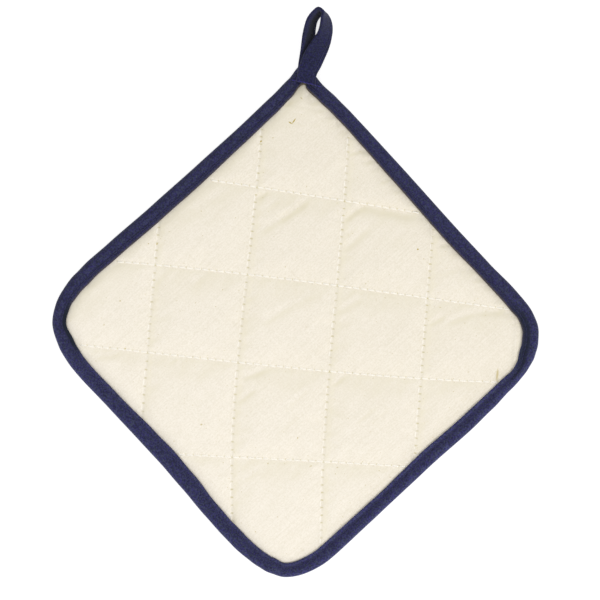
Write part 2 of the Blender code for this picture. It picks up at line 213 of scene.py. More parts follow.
BINDING_SECTION = rows_of(SectionRow, (
    ("turned_end", 1, -5.6, 1, -1.04, 0.15, 1), ("turned_flat", 1, -3.8, 1, -1.10, 0.35, 1),
    ("turned_stitch", 1, -2.4, 1, -1.14, 0.75, 1), ("turned_lip", 1, -1.2, 1, -1.12, 0.45, 1),
    ("nose_under", 1, -0.55, 1, -1.02, 0.35, 2), ("nose", 1, -0.27, 1, -0.72, 0.30, 2),
    ("nose_over", 1, -0.62, 1, -0.43, 0.30, 1), ("lip_crown", 1, -1.25, 1, -0.36, 0.35, 1),
    ("ditch_inside", 1, -1.85, 1, -0.34, 0.70, 1), ("ditch", 1, -2.4, 1, -0.30, 1.0, 1),
    ("ditch_outside", 1, -2.95, 1, -0.28, 0.75, 1), ("roll_inside", 1, -3.9, 1, -0.27, 0.25, 2),
    ("roll_crown", 0, 2.7, 1, -0.26, 0.0, 2), ("roll_shoulder", 0, 1.2, 1, -0.66, 0.0, 2),
    ("fold_high", 0, 0.45, 1, -1.60, 0.0, 2), ("fold", 0, 0.26, 0.5, 0.0, 0.0, 2),
    ("fold_low", 0, 0.55, 0, 1.30, 0.0, 2), ("under_shoulder", 0, 1.35, 0, 0.52, 0.0, 2),
    ("under_roll", 0, 2.7, 0, 0.28, 0.0, 1), ("back_flat", 1, -4.0, 0, 0.27, 0.0, 1),
    ("back_stitch_outside", 1, -3.0, 0, 0.34, 0.0, 1), ("back_stitch", 1, -2.4, 0, 0.62, 0.0, 1),
    ("back_stitch_inside", 1, -1.8, 0, 0.34, 0.0, 1), ("back_lip", 1, -1.1, 0, 0.27, 0.0, 1),
    ("back_nose_low", 1, -0.5, 0, 0.34, 0.0, 1), ("back_nose", 1, -0.27, 0, 0.60, 0.0, 1),
    ("back_nose_high", 1, -0.6, 0, 0.84, 0.0, 1), ("back_turned", 1, -1.5, 0, 0.86, 0.0, 1),
    ("back_turned_flat", 1, -3.6, 0, 0.88, 0.0, 1), ("back_turned_end", 1, -5.2, 0, 0.86, 0.0, 1),
))


class LoopRow(NamedTuple):
    """The strap at one place: its two edges and its thickness, in millimetres."""

    place: str
    upper_x: float
    upper_y: float
    upper_z: float
    lower_x: float
    lower_y: float
    lower_z: float
    thick: float


LOOP_ROWS = rows_of(LoopRow, (
    ("under_end", -5.0, 133.9, 5.9, 5.3, 131.8, 5.9, 1.3),
    ("under_corner", -4.8, 139.2, 6.0, 5.4, 137.7, 6.0, 1.3),
    ("left_neck", -4.4, 144.6, 6.1, 5.9, 143.5, 5.7, 1.4),
    ("left_foot", -3.9, 149.2, 6.2, 6.0, 148.4, 3.3, 1.7),
    ("left_low", -3.5, 153.8, 7.3, 4.8, 153.4, 1.2, 1.7),
    ("left_middle", -3.1, 158.7, 8.3, 4.0, 158.7, 1.0, 1.7),
    ("left_high", -2.3, 163.3, 8.6, 4.1, 163.6, 1.0, 1.7),
    ("left_shoulder", -1.1, 167.6, 8.9, 4.7, 166.8, 1.0, 1.7),
    ("left_crown", 1.3, 171.3, 9.2, 5.7, 168.7, 1.0, 1.7),
    ("tip", 4.5, 174.0, 9.4, 7.2, 170.5, 1.0, 1.7),
    ("right_crown", 6.6, 171.6, 9.6, 9.6, 171.5, 1.0, 1.7),
    ("right_shoulder", 6.3, 168.6, 9.2, 11.6, 169.2, 1.0, 1.7),
    ("right_high", 6.1, 166.0, 8.8, 12.8, 165.9, 1.0, 1.7),
    ("right_middle", 5.7, 163.2, 8.1, 13.2, 162.3, 1.0, 1.7),
    ("right_low", 4.8, 160.4, 7.1, 12.9, 158.8, 1.0, 1.7),
    ("right_turn", 2.6, 156.9, 6.3, 12.2, 155.0, 1.6, 1.7),
    ("right_foot", 0.3, 152.9, 7.2, 11.1, 150.8, 4.6, 1.7),
    ("crossing", -1.9, 148.5, 8.0, 9.6, 146.7, 6.4, 1.7),
    ("right_neck", -3.5, 143.6, 7.7, 7.8, 142.1, 7.3, 1.5),
    ("over_corner", -4.6, 138.4, 7.6, 5.6, 137.3, 7.6, 1.3),
    ("over_end", -5.3, 133.9, 7.6, 5.0, 131.9, 7.6, 1.3),
))


class StrapRow(NamedTuple):
    """One place on the folded strap's middle surface: share of its half width, and millimetres."""

    place: str
    share: float
    across: float
    off: float
    steps: int


STRAP_SECTION = rows_of(StrapRow, (
    ("lip", -1, 0.45, 0.46, 1), ("lip_crown", -1, 1.1, 0.46, 1), ("stitch", -1, 2.0, 0.42, 1),
    ("inside_stitch", -1, 2.9, 0.46, 2), ("middle", 0, 0.0, 0.47, 2), ("before_fold", 1, -2.0, 0.46, 2),
    ("fold_shoulder", 1, -0.8, 0.40, 2), ("fold", 1, -0.38, 0.0, 2),
    ("other_shoulder", 1, -0.8, -0.40, 2), ("after_fold", 1, -2.0, -0.46, 2),
    ("other_middle", 0, 0.0, -0.47, 2), ("other_inside_stitch", -1, 2.9, -0.46, 1),
    ("other_stitch", -1, 2.0, -0.42, 1), ("other_lip_crown", -1, 1.1, -0.46, 1),
    ("other_lip", -1, 0.45, -0.46, 1),
))


class TackRow(NamedTuple):
    """One place on the row of stitches that holds the loop on the corner, in millimetres."""

    place: str
    x: float
    y: float
    z: float


TACK_ROWS = rows_of(TackRow, (
    ("left", -7.7, 134.6, 4.9), ("left_of_strap", -6.0, 134.3, 5.1),
    ("on_strap_left", -4.7, 134.1, 8.25), ("on_strap", 0.0, 133.2, 8.3),
    ("on_strap_right", 4.6, 132.4, 8.25), ("right_of_strap", 6.0, 132.1, 5.1),
    ("right", 7.9, 131.8, 4.9),
))


class CreaseRow(NamedTuple):
    """A soft fold in the face, in millimetres: its two ends, how far it bows to its left, its depth and
    its half width."""

    start_x: float
    start_y: float
    end_x: float
    end_y: float
    bow: float
    depth: float
    width: float


CREASE_ROWS = rows_of(CreaseRow, (
    (5.5, 72.6, -13.0, 57.2, 0.3, 1.15, 2.0), (-3.0, 66.6, -23.5, 50.6, 0.3, 0.60, 2.4),
    (-17.2, 75.8, -25.4, 69.6, 0.6, 1.00, 1.6), (-10.8, 70.9, -18.4, 64.4, 0.0, 0.30, 1.2),
    (36.6, 70.2, 22.6, 59.6, -0.9, 1.30, 1.9), (66.0, 63.7, 30.0, 68.9, -0.5, 1.15, 2.8),
    (38.4, 60.0, 22.0, 42.6, 0.3, 0.95, 2.4), (32.8, 60.0, 24.2, 51.6, 0.0, 0.45, 1.2),
    (34.5, 99.4, 23.8, 95.8, -0.3, 0.85, 1.2), (38.0, 94.2, 31.5, 91.8, 0.0, 0.75, 1.2),
    (48.6, 84.6, 40.8, 81.2, 0.0, 0.60, 1.1), (54.5, 78.8, 48.5, 77.4, 0.0, 0.50, 1.3),
    (81.8, 50.9, 74.6, 48.9, 0.0, 1.05, 1.2), (86.5, 47.0, 79.5, 44.6, 0.0, 0.45, 1.2),
    (94.5, 39.0, 86.5, 36.2, 0.0, 0.65, 1.4), (101.0, 32.8, 95.5, 31.6, 0.0, 0.45, 1.3),
    (92.0, 41.0, 71.0, 33.6, 0.8, 0.30, 2.0), (114.0, 15.8, 95.0, 14.8, 0.0, 0.85, 2.2),
    (99.0, 15.2, 79.0, 7.0, -0.7, 0.80, 2.0), (80.6, 13.0, 70.0, 6.4, 0.3, 0.80, 1.5),
    (109.6, -14.6, 109.3, -23.4, 0.0, 1.20, 0.9), (36.4, 21.4, 20.4, 11.4, 0.8, 0.55, 2.0),
    (1.5, 17.0, -21.0, 2.6, 0.4, 0.55, 2.2), (10.0, 21.8, -2.0, 13.2, 0.0, 0.35, 2.0),
    (-45.0, 31.0, -59.0, 21.0, 0.0, 0.30, 2.2), (-70.6, 31.2, -77.4, 21.0, 0.5, 0.45, 2.0),
    (-36.0, 76.0, -51.0, 66.0, 0.0, 0.35, 2.6), (-90.0, -15.0, -109.0, -18.8, 0.4, 0.45, 1.6),
    (-61.8, -16.6, -66.6, -19.6, 0.0, 0.35, 1.0), (-12.0, -20.0, -30.0, -27.8, -0.4, 0.60, 1.6),
    (-18.5, -30.4, -30.0, -40.2, 0.0, 0.55, 1.4), (10.0, -28.4, -6.0, -43.6, 0.0, 0.30, 1.6),
    (7.0, -41.4, -9.0, -56.0, 0.0, 0.25, 1.5), (28.0, -21.8, 20.6, -28.4, 0.0, 0.60, 1.2),
    (46.5, -36.8, 33.5, -48.2, 0.0, 0.35, 1.0), (53.0, -37.6, 41.0, -47.6, 0.0, 0.22, 1.0),
    (-14.5, -73.4, -24.5, -81.4, 0.0, 0.28, 1.2), (-29.9, -99.4, -27.8, -105.0, 0.0, 0.80, 1.1),
    (1.0, 110.0, -5.6, 113.0, 0.0, 0.50, 0.9), (-9.5, 123.6, -4.6, 122.6, 0.0, 0.35, 1.6),
))


class FleckRow(NamedTuple):
    """A bit of cotton husk in the face's weave, or one painted shadow: its middle and size in
    millimetres, its turn, and how dark it is."""

    x: float
    y: float
    length: float
    width: float
    turn: float
    depth: float


FLECK_ROWS = rows_of(FleckRow, (
    (63.8, 46.9, 0.55, 0.50, 0.0, 1.0), (3.9, -56.8, 0.55, 0.30, 1.1, 0.75),
    (-47.9, -51.9, 0.80, 0.60, 0.2, 0.45), (-22.7, 101.1, 0.80, 0.55, 1.2, 0.80),
    (-16.4, 103.2, 0.70, 0.35, 0.3, 0.40), (10.5, 121.6, 0.60, 0.45, 2.3, 0.70),
    # the first fleck on the next line, at 109.4, -18.6, is a painted shadow in the narrow slit of the
    # crease there
    (109.4, -18.6, 4.20, 0.80, 1.54, 0.45), (-76.0, 43.7, 0.70, 0.50, 0.8, 0.60),
    (-80.5, 43.7, 0.45, 0.40, 0.0, 0.55), (-94.2, 12.3, 0.60, 0.45, 0.3, 0.55),
    (-102.3, -0.9, 0.60, 0.40, 0.9, 0.45), (-90.6, -13.1, 0.55, 0.45, 0.5, 0.55),
    (-52.9, 62.2, 0.40, 0.35, 0.0, 0.40), (-34.5, 59.5, 0.40, 0.30, 0.4, 0.40),
    (-16.5, -108.1, 0.45, 0.35, 0.0, 0.60), (-11.4, -71.3, 0.55, 0.35, 0.6, 0.50),
    (29.2, -102.2, 0.55, 0.35, 0.7, 0.35), (-39.7, 20.7, 0.50, 0.35, 0.8, 0.35),
    (-43.0, 11.5, 0.45, 0.35, 0.0, 0.40), (-51.4, 8.2, 0.45, 0.35, 0.4, 0.30),
    (-6.7, 34.4, 0.45, 0.30, 0.9, 0.50), (-1.5, 38.2, 0.35, 0.30, 0.0, 0.30),
    (-45.2, -53.8, 0.45, 0.35, 0.5, 0.30), (93.7, -17.6, 0.50, 0.35, 0.2, 0.35),
    (90.7, 8.5, 0.50, 0.35, 0.9, 0.35), (-2.0, 125.1, 1.00, 0.38, 2.4, 0.45),
    (-7.4, 111.6, 1.35, 0.45, 2.64, 0.75), (-5.5, 112.6, 2.10, 0.42, 1.02, 0.80),
    (-8.5, 122.0, 4.00, 1.80, 0.80, 0.10),
))


class PaintedLightRow(NamedTuple):
    """Painted light on the side of the square that faces x, y: how much lighter or darker the tape is
    painted on its inner lip, in the groove beside it and on its outer roll as they face towards or away
    from the light, how tawny its inner edge is painted, and how dark a painted shadow of the binding
    makes the calico beside it."""

    x: float
    y: float
    lip: float
    groove: float
    roll: float
    tawny: float
    beside: float


PAINTED_LIGHT_ROWS = rows_of(PaintedLightRow, (
    (-1, 1, 0.00, -0.40, -0.26, 0.70, 0.0),
    (-1, -1, 0.42, 0.00, 0.56, 0.10, 0.12),
    (1, -1, 0.66, -0.04, 0.80, 0.00, 0.22),
    (1, 1, -0.10, -0.22, 0.04, 1.00, 0.16),
))


class ShadeRow(NamedTuple):
    """A stretch of painted shade on the tape, in millimetres: its middle, how far it reaches, and from
    where to where across the tape it lies; and its depth."""

    x: float
    y: float
    reach: float
    low: float
    high: float
    depth: float


SHADE_ROWS = rows_of(ShadeRow, (
    (-122.5, -4.0, 17.0, 54.7, 58.5, 0.90),
    (124.0, 0.0, 25.0, 52.3, 56.2, 0.62),
))


# ---- arithmetic on arrays ----

def smoothstep(share: Array) -> Array:
    """Return 3 s^2 - 2 s^3 of a share held between 0 and 1."""
    held = np.clip(share, 0.0, 1.0)
    return held * held * (3.0 - 2.0 * held)


def swell(distance: Array, reach: float | Array) -> Array:
    """Return 1 - exp(-d / reach), and 0 on a sewn line and outside it."""
    return 1.0 - np.exp(-np.maximum(distance, 0.0) / reach)


def bell(distance: Array, width: float) -> Array:
    """Return exp(-(d / width)^2)."""
    return np.exp(-(distance / width) ** 2)


def wave_of(distance: Array, pitch: float) -> Array:
    """Return (1 + cos(2 pi d / pitch)) / 2: 1 at every whole pitch and 0 midway."""
    return 0.5 + 0.5 * np.cos(math.tau * distance / pitch)


def unit(vectors: Array) -> Array:
    """Return vectors divided by their lengths."""
    return vectors / np.maximum(np.linalg.norm(vectors, axis=-1, keepdims=True), TINY)


def circled(angle: Array) -> Array:
    """Return the unit vectors (cos a, sin a)."""
    return np.stack([np.cos(angle), np.sin(angle)], axis=-1)


def quarter_turned(vectors: Array) -> Array:
    """Return plan vectors turned a quarter to the left: (-y, x)."""
    return np.stack([-vectors[..., 1], vectors[..., 0]], axis=-1)


def spline_weights(steps: Sequence[int]) -> Array:
    """Return the weights that carry a smooth line through the rows of a table.

    Between two rows the line is their Catmull-Rom blend: a cubic that passes through both and whose
    slope at each is half the step from the row before to the row after.

    Args:
        steps: how many new rows lead from each row to the next.

    Returns:
        A matrix with a row for each new row and a column for each row of the table.
    """
    count = len(steps) + 1
    padded = np.zeros((count + 2, count))
    padded[1:-1] = np.eye(count)
    padded[0] = 2 * padded[1] - padded[2]
    padded[-1] = 2 * padded[-2] - padded[-3]
    blended = []
    for index, number in enumerate(steps):
        t = np.arange(number)[:, None] / number
        before, start, stop, after = padded[index:index + 4]
        blended.append(0.5 * (2 * start + (stop - before) * t
                              + (2 * before - 5 * start + 4 * stop - after) * t ** 2
                              + (3 * start - before - 3 * stop + after) * t ** 3))
    blended.append(padded[-2:-1])
    return np.vstack(blended)


def lengths_along(points: Array) -> Array:
    """Return the distance run at each point of a line, the first at 0."""
    steps = np.linalg.norm(np.diff(points, axis=0), axis=-1)
    return np.concatenate([[0.0], np.cumsum(steps)])


def lengths_round(rings: Array) -> Array:
    """Return the distance run round the mean of some closed sections, (stations, count, 2)."""
    outline = rings.mean(axis=0)
    return lengths_along(np.concatenate([outline, outline[:1]]))


def points_at(wanted: Array, run: Array, line: Array) -> Array:
    """Return the places of a line, (count, 3), at some of the distances run along it."""
    return np.stack([np.interp(wanted, run, column) for column in line.T], axis=-1)


class Ripple(NamedTuple):
    """A random relief of plane waves: the shortest and longest wave, where the random draws start, and
    how fast it changes across, as a share of how fast it does along."""

    shortest: float
    longest: float
    seed: int
    stretch: float = 1.0

    def over(self, along: Array, across: Array) -> Array:
        """Return a sum of plane waves in random directions, gentle and between about -1 and 1.

        Args:
            along: places along.
            across: places across.

        Returns:
            The relief at each place.
        """
        random = np.random.default_rng(self.seed)
        lengths = np.exp(random.uniform(*np.log([self.shortest, self.longest]), RIPPLE_WAVES))
        turns = random.uniform(0.0, math.tau, RIPPLE_WAVES)
        phases = random.uniform(0.0, math.tau, RIPPLE_WAVES)
        across = across * self.stretch
        total = np.zeros(np.broadcast(along, across).shape)
        for length, turn, phase in zip(lengths, turns, phases):
            way = along * math.cos(turn) + across * math.sin(turn)
            total += np.sin(math.tau / length * way + phase)
        return total / math.sqrt(RIPPLE_WAVES * 2)


def carried(rows: Sequence[NamedTuple], line: Array) -> tuple[Array, Array]:
    """Carry a smooth line through the places of a section's table, by spline_weights.

    Args:
        rows: the table, whose last column is how many points lead to the next row.
        line: the places that the rows stand for at each station, (stations, rows, 2).

    Returns:
        The weights, and the smooth line at each station, (stations, points, 2).
    """
    weights = spline_weights([row.steps for row in rows[:-1]])
    return weights, np.einsum("nr,mrc->mnc", weights, line)


def refine(grid: Array) -> Array:
    """Put a new line midway between every two lines of a grid, each way.

    A new point is (-1, 9, 9, -1) / 16 of the four points in line with it, a cubic's middle.

    Args:
        grid: points, (columns, rows, 3).

    Returns:
        The finer grid.
    """
    for _ in range(2):
        padded = np.concatenate([2 * grid[:1] - grid[1:2], grid, 2 * grid[-1:] - grid[-2:-1]])
        woven = np.zeros((2 * len(grid) - 1,) + grid.shape[1:])
        woven[0::2] = grid
        woven[1::2] = (9 * (padded[1:-2] + padded[2:-1]) - padded[:-3] - padded[3:]) / 16
        grid = np.swapaxes(woven, 0, 1)
    return grid


def cell_corners(values: Array) -> Array:
    """Return the values at the four corners of each cell of a grid, anticlockwise, (..., 4)."""
    return np.stack([values[:-1, :-1], values[1:, :-1], values[1:, 1:], values[:-1, 1:]], axis=-1)


def edges_of(faces: Array) -> Array:
    """Return the edges of some faces, each from one corner to the next, every first edge first."""
    return np.stack([faces, np.roll(faces, -1, axis=1)], axis=-1).swapaxes(0, 1).reshape(-1, 2)


def thicken(line: Array, thickness: float) -> Array:
    """Give a cloth's section its outline: its middle line moved out by half the thickness each way.

    Args:
        line: points of the middle line, (..., count, 2).
        thickness: the cloth's thickness.

    Returns:
        The closed outline, (..., 2 * count + 2, 2): one face, the far end's cap, the other face
        backwards and the near end's cap.
    """
    along = unit(np.gradient(line, axis=-2))
    normal = quarter_turned(along) * thickness / 2
    near = line[..., :1, :] - along[..., :1, :] * thickness / 2
    far = line[..., -1:, :] + along[..., -1:, :] * thickness / 2
    other = (line - normal)[..., ::-1, :]
    return np.concatenate([line + normal, far, other, near], axis=-2)


# ---- meshes ----

class Faces(NamedTuple):
    """Faces with the same number of corners, and the UV place of each corner."""

    corners: Array
    places: Array


def volume_inside(points: Array, groups: Sequence[Faces]) -> float:
    """Return the volume that faces enclose: the sum of p0 . (p1 x p2) / 6 over their fans.

    Args:
        points: the points, (count, 3).
        groups: the faces.

    Returns:
        The volume, below 0 where the faces point inwards.
    """
    total = 0.0
    for corners, _ in groups:
        first = points[corners[:, 0]]
        for step in range(1, corners.shape[1] - 1):
            second, third = points[corners[:, step]], points[corners[:, step + 1]]
            total += float(np.einsum("ij,ij->", first, np.cross(second, third))) / 6
    return total


def put(name: str, data: bpy.types.ID) -> Piece:
    """Put something into the scene as an object at the origin.

    Args:
        name: the object's name.
        data: its mesh, lamp or camera.

    Returns:
        The new object.
    """
    item = bpy.data.objects.new(name, data)
    bpy.context.scene.collection.objects.link(item)
    return item


def make_piece(name: str, points: Array, groups: Sequence[Faces],
               finish: Material, slot: Slot) -> Piece:
    """Make a closed, smooth-shaded piece whose faces point outwards, and set it on the body.

    Args:
        name: the piece's name.
        points: its points, (count, 3).
        groups: its faces.
        finish: its material.
        slot: the record's slot that the finish belongs to; not used.

    Returns:
        The new object.
    """
    if volume_inside(points, groups) < 0.0:
        groups = [Faces(group.corners[:, ::-1], group.places[:, ::-1]) for group in groups]
    mesh = bpy.data.meshes.new(name)
    faces = [face for group in groups for face in group.corners.tolist()]
    mesh.from_pydata(points.tolist(), [], faces, shade_flat=False)
    places = np.concatenate([group.places.reshape(-1, 2) for group in groups])
    mesh.uv_layers.new(name="cloth").data.foreach_set("uv", places.ravel().astype(np.float32))
    mesh.materials.append(finish)
    mesh.validate()
    item = put(name, mesh)
    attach(item, BODY)
    LOG.info("%s: %d points, %d faces", name, len(points), len(faces))
    return item


def skin_faces(along: Array, around: Array, rows: int, columns: int) -> Faces:
    """Return the quads of a skin of rows by columns, closed each way that has one more UV line.

    Args:
        along: the UV place of each row, and of the first row again where the rows close.
        around: the UV place of each column, and of the first again where the columns close.
        rows: how many rows of points there are.
        columns: how many points a row has.

    Returns:
        The faces.
    """
    row, column = np.meshgrid(np.arange(len(along) - 1), np.arange(len(around) - 1), indexing="ij")
    corners, places = [], []
    for row_step, column_step in ((0, 0), (0, 1), (1, 1), (1, 0)):
        here, there = row + row_step, column + column_step
        corners.append((here % rows) * columns + there % columns)
        places.append(np.stack([along[here], around[there]], axis=-1))
    return Faces(np.stack(corners, axis=-1).reshape(-1, 4), np.stack(places, axis=-2).reshape(-1, 4, 2))


def end_faces(rows: int, columns: int) -> Faces:
    """Return the two many-sided faces that close the ends of a skin."""
    ring = np.arange(columns)
    return Faces(np.stack([ring[::-1], ring + (rows - 1) * columns]), np.zeros((2, columns, 2)))


# ---- shading ----

WHITE = (1.0, 1.0, 1.0, 1.0)
WEAVE_TURN = math.radians(-45.0)
# the mark of how far the pad's face turns from the light, by which the calico paints a warm shade
TURNED_AWAY = "turned_away"
MIX_SHARE, MIX_FIRST, MIX_SECOND, MIX_RESULT = 0, 6, 7, 2   # a Mix node's sockets for colours


class Field:
    """A value that varies over a surface: a node's socket that takes part in arithmetic."""

    def __init__(self, shading: "Shading", socket: Socket) -> None:
        """Wrap a socket of a material."""
        self.shading = shading
        self.socket = socket

    def _math(self, operation: str, *values: "Field | float", clamp: bool = False) -> "Field":
        """Return what a Math node makes of some values."""
        settings = {"operation": operation, "use_clamp": clamp}
        return self.shading.value("ShaderNodeMath", settings, dict(enumerate(values)))

    def __add__(self, other: "Field | float") -> "Field":
        """Return self + other."""
        return self._math("ADD", self, other)

    def __sub__(self, other: "Field | float") -> "Field":
        """Return self - other."""
        return self._math("SUBTRACT", self, other)

    def __rsub__(self, other: float) -> "Field":
        """Return other - self."""
        return self._math("SUBTRACT", other, self)

    def __mul__(self, other: "Field | float") -> "Field":
        """Return self * other."""
        return self._math("MULTIPLY", self, other)

    def __truediv__(self, other: "Field | float") -> "Field":
        """Return self / other."""
        return self._math("DIVIDE", self, other)

    def __pow__(self, other: float) -> "Field":
        """Return the size of self to a power."""
        return self._math("POWER", self.size(), other)

    __radd__ = __add__
    __rmul__ = __mul__

    def wave(self) -> "Field":
        """Return the sine of 2 pi times the value."""
        return self._math("SINE", self * math.tau)

    def size(self) -> "Field":
        """Return the value without its sign."""
        return self._math("ABSOLUTE", self)

    def wrapped(self) -> "Field":
        """Return the value less the nearest whole number."""
        return self._math("WRAP", self, 0.5, -0.5)

    def held(self) -> "Field":
        """Return the value held between 0 and 1."""
        return self._math("ADD", self, 0.0, clamp=True)

    def between(self, low: float, high: float) -> "Field":
        """Return 0 up to low, 1 from high, and a straight run between."""
        return ((self - low) / (high - low)).held()

    def within(self, low: float, high: float, soft: float) -> "Field":
        """Return 1 from low to high and 0 outside, with edges that are soft wide to either side."""
        return self.between(low - soft, low + soft) * (1.0 - self.between(high - soft, high + soft))

    def hump(self, place: float, reach: float) -> "Field":
        """Return 1 - ((value - place) / reach)^2, held above 0."""
        return (1.0 - ((self - place) / reach) ** 2.0).held()


def summed(fields: Iterable[Field]) -> Field:
    """Return the sum of some fields."""
    return reduce(operator.add, fields)


class Shading:
    """One material: its node tree, its Principled shader and the one way to add a node."""

    def __init__(self, name: str, **constants: float | Colour) -> None:
        """Start a material whose shader has some constant values.

        Args:
            name: the material's name.
            constants: values for the shader's own sockets, with _ for a space.
        """
        self.material = bpy.data.materials.new(name)
        self.material.use_nodes = True
        self.tree = self.material.node_tree
        self.tree.nodes.clear()
        named = {key.replace("_", " "): value for key, value in constants.items()}
        self.shader = self.node("ShaderNodeBsdfPrincipled", {}, named)
        self.node("ShaderNodeOutputMaterial", {}, {"Surface": self.shader.outputs["BSDF"]})

    def feed(self, node: bpy.types.Node, inputs: Inputs) -> None:
        """Set or link a node's sockets.

        Args:
            node: the node.
            inputs: a value, a socket or a field for each socket that isn't left as it is.
        """
        for name, value in inputs.items():
            source = value.socket if isinstance(value, Field) else value
            if isinstance(source, Socket):
                self.tree.links.new(source, node.inputs[name])
            else:
                node.inputs[name].default_value = source

    def node(self, kind: str, settings: Settings, inputs: Inputs) -> bpy.types.Node:
        """Add a node.

        Args:
            kind: the node's type.
            settings: what is set on the node itself, first.
            inputs: a value, a socket or a field for each of its sockets that isn't left as it is.

        Returns:
            The new node.
        """
        made = self.tree.nodes.new(kind)
        for name, value in settings.items():
            setattr(made, name, value)
        self.feed(made, inputs)
        return made

    def value(self, kind: str, settings: Settings, inputs: Inputs, output: str | int = 0) -> Field:
        """Return one output of a new node as a field."""
        return Field(self, self.node(kind, settings, inputs).outputs[output])

    def place(self, source: str = "Object", turn: float = 0.0,
              scale: Triple = (1.0, 1.0, 1.0)) -> Socket:
        """Return the surface's own place, turned about Z and then scaled.

        Args:
            source: which place, Object or UV.
            turn: the angle that it is turned by.
            scale: what it is multiplied by each way.

        Returns:
            The place's socket.
        """
        start = self.node("ShaderNodeTexCoord", {}, {})
        turned = self.node("ShaderNodeMapping", {"vector_type": "POINT"},
                           {"Vector": start.outputs[source], "Rotation": (0.0, 0.0, turn)})
        scaled = self.node("ShaderNodeMapping", {"vector_type": "POINT"},
                           {"Vector": turned.outputs[0], "Scale": scale})
        return scaled.outputs[0]

    def axes(self, place: Socket) -> tuple[Field, Field, Field]:
        """Return a place's x, y and z."""
        split = self.node("ShaderNodeSeparateXYZ", {}, {0: place})
        return tuple(Field(self, output) for output in split.outputs)

    def mark(self, name: str) -> Field:
        """Return a value that the piece's own points carry."""
        return self.value("ShaderNodeAttribute", {"attribute_name": name}, {}, "Fac")

    def noise(self, place: Socket, detail: float = 2.0, roughness: float = 0.5) -> Field:
        """Return a soft random value about 0.5, one grain to a unit of place."""
        return self.value("ShaderNodeTexNoise", {"noise_dimensions": "3D"},
                          {"Vector": place, "Scale": 1.0, "Detail": detail, "Roughness": roughness})

    def mix(self, share: Field, first: object, second: object) -> Socket:
        """Return a colour that is the first where share is 0 and the second where it is 1."""
        inputs = {MIX_SHARE: share, MIX_FIRST: first, MIX_SECOND: second}
        return self.node("ShaderNodeMix", {"data_type": "RGBA"}, inputs).outputs[MIX_RESULT]

    def scaled(self, colour: Socket, gain: Field) -> Socket:
        """Return a colour made lighter or darker by a gain."""
        made = self.node("ShaderNodeVectorMath", {"operation": "SCALE"}, {0: colour, "Scale": gain})
        return made.outputs[0]

    def weave(self, across: Field, along: Field, pitch: float) -> Field:
        """Return a plain weave's height from 0 to 1: warp and weft humps that take turns on top.

        Args:
            across: the place across the warp.
            along: the place along the warp.
            pitch: the distance from one thread to the next.

        Returns:
            The height.
        """
        warp = (across / (2 * pitch)).wave()
        weft = (along / (2 * pitch)).wave()
        over = (warp * weft * 2.0 + 0.5).held()
        return warp.size() * over + weft.size() * (1.0 - over)

    def finish(self, colour: object, roughness: Field | float, height: Field) -> None:
        """Feed the shader its colour, its roughness and a relief in metres."""
        bump = self.node("ShaderNodeBump", {}, {"Height": height, "Distance": 1.0, "Strength": 1.0})
        self.feed(self.shader, {"Base Color": colour, "Roughness": roughness,
                                "Normal": bump.outputs[0]})


# ---- finishes ----

@dataclass(frozen=True)
class Grain:
    """A random unevenness of a cloth.

    scale is how many grains there are to a metre each way, once the place is turned. The cloth's tone
    gains share as the grain's value goes from low to high.
    """

    scale: Triple
    low: float
    high: float
    share: float = 1.0
    detail: float = 2.0
    rough: float = 0.5
    turn: float = 0.0
    source: str = "Object"

    def noise(self, shading: Shading) -> Field:
        """Return the grain's own value, about 0.5."""
        return shading.noise(shading.place(self.source, self.turn, self.scale), self.detail, self.rough)

    def tone(self, noise: Field) -> Field:
        """Return what a value of the grain adds to the tone."""
        return noise.between(self.low, self.high) * self.share


class SeamLook(NamedTuple):
    """How a sewn line looks: its needle holes' place off the line and width (mm) and how dark their
    painted shade is, and the strengths of the shade painted on its dark side and of its groove."""

    hole_place: float
    hole_width: float
    hole_shade: float
    dark: float
    groove: float


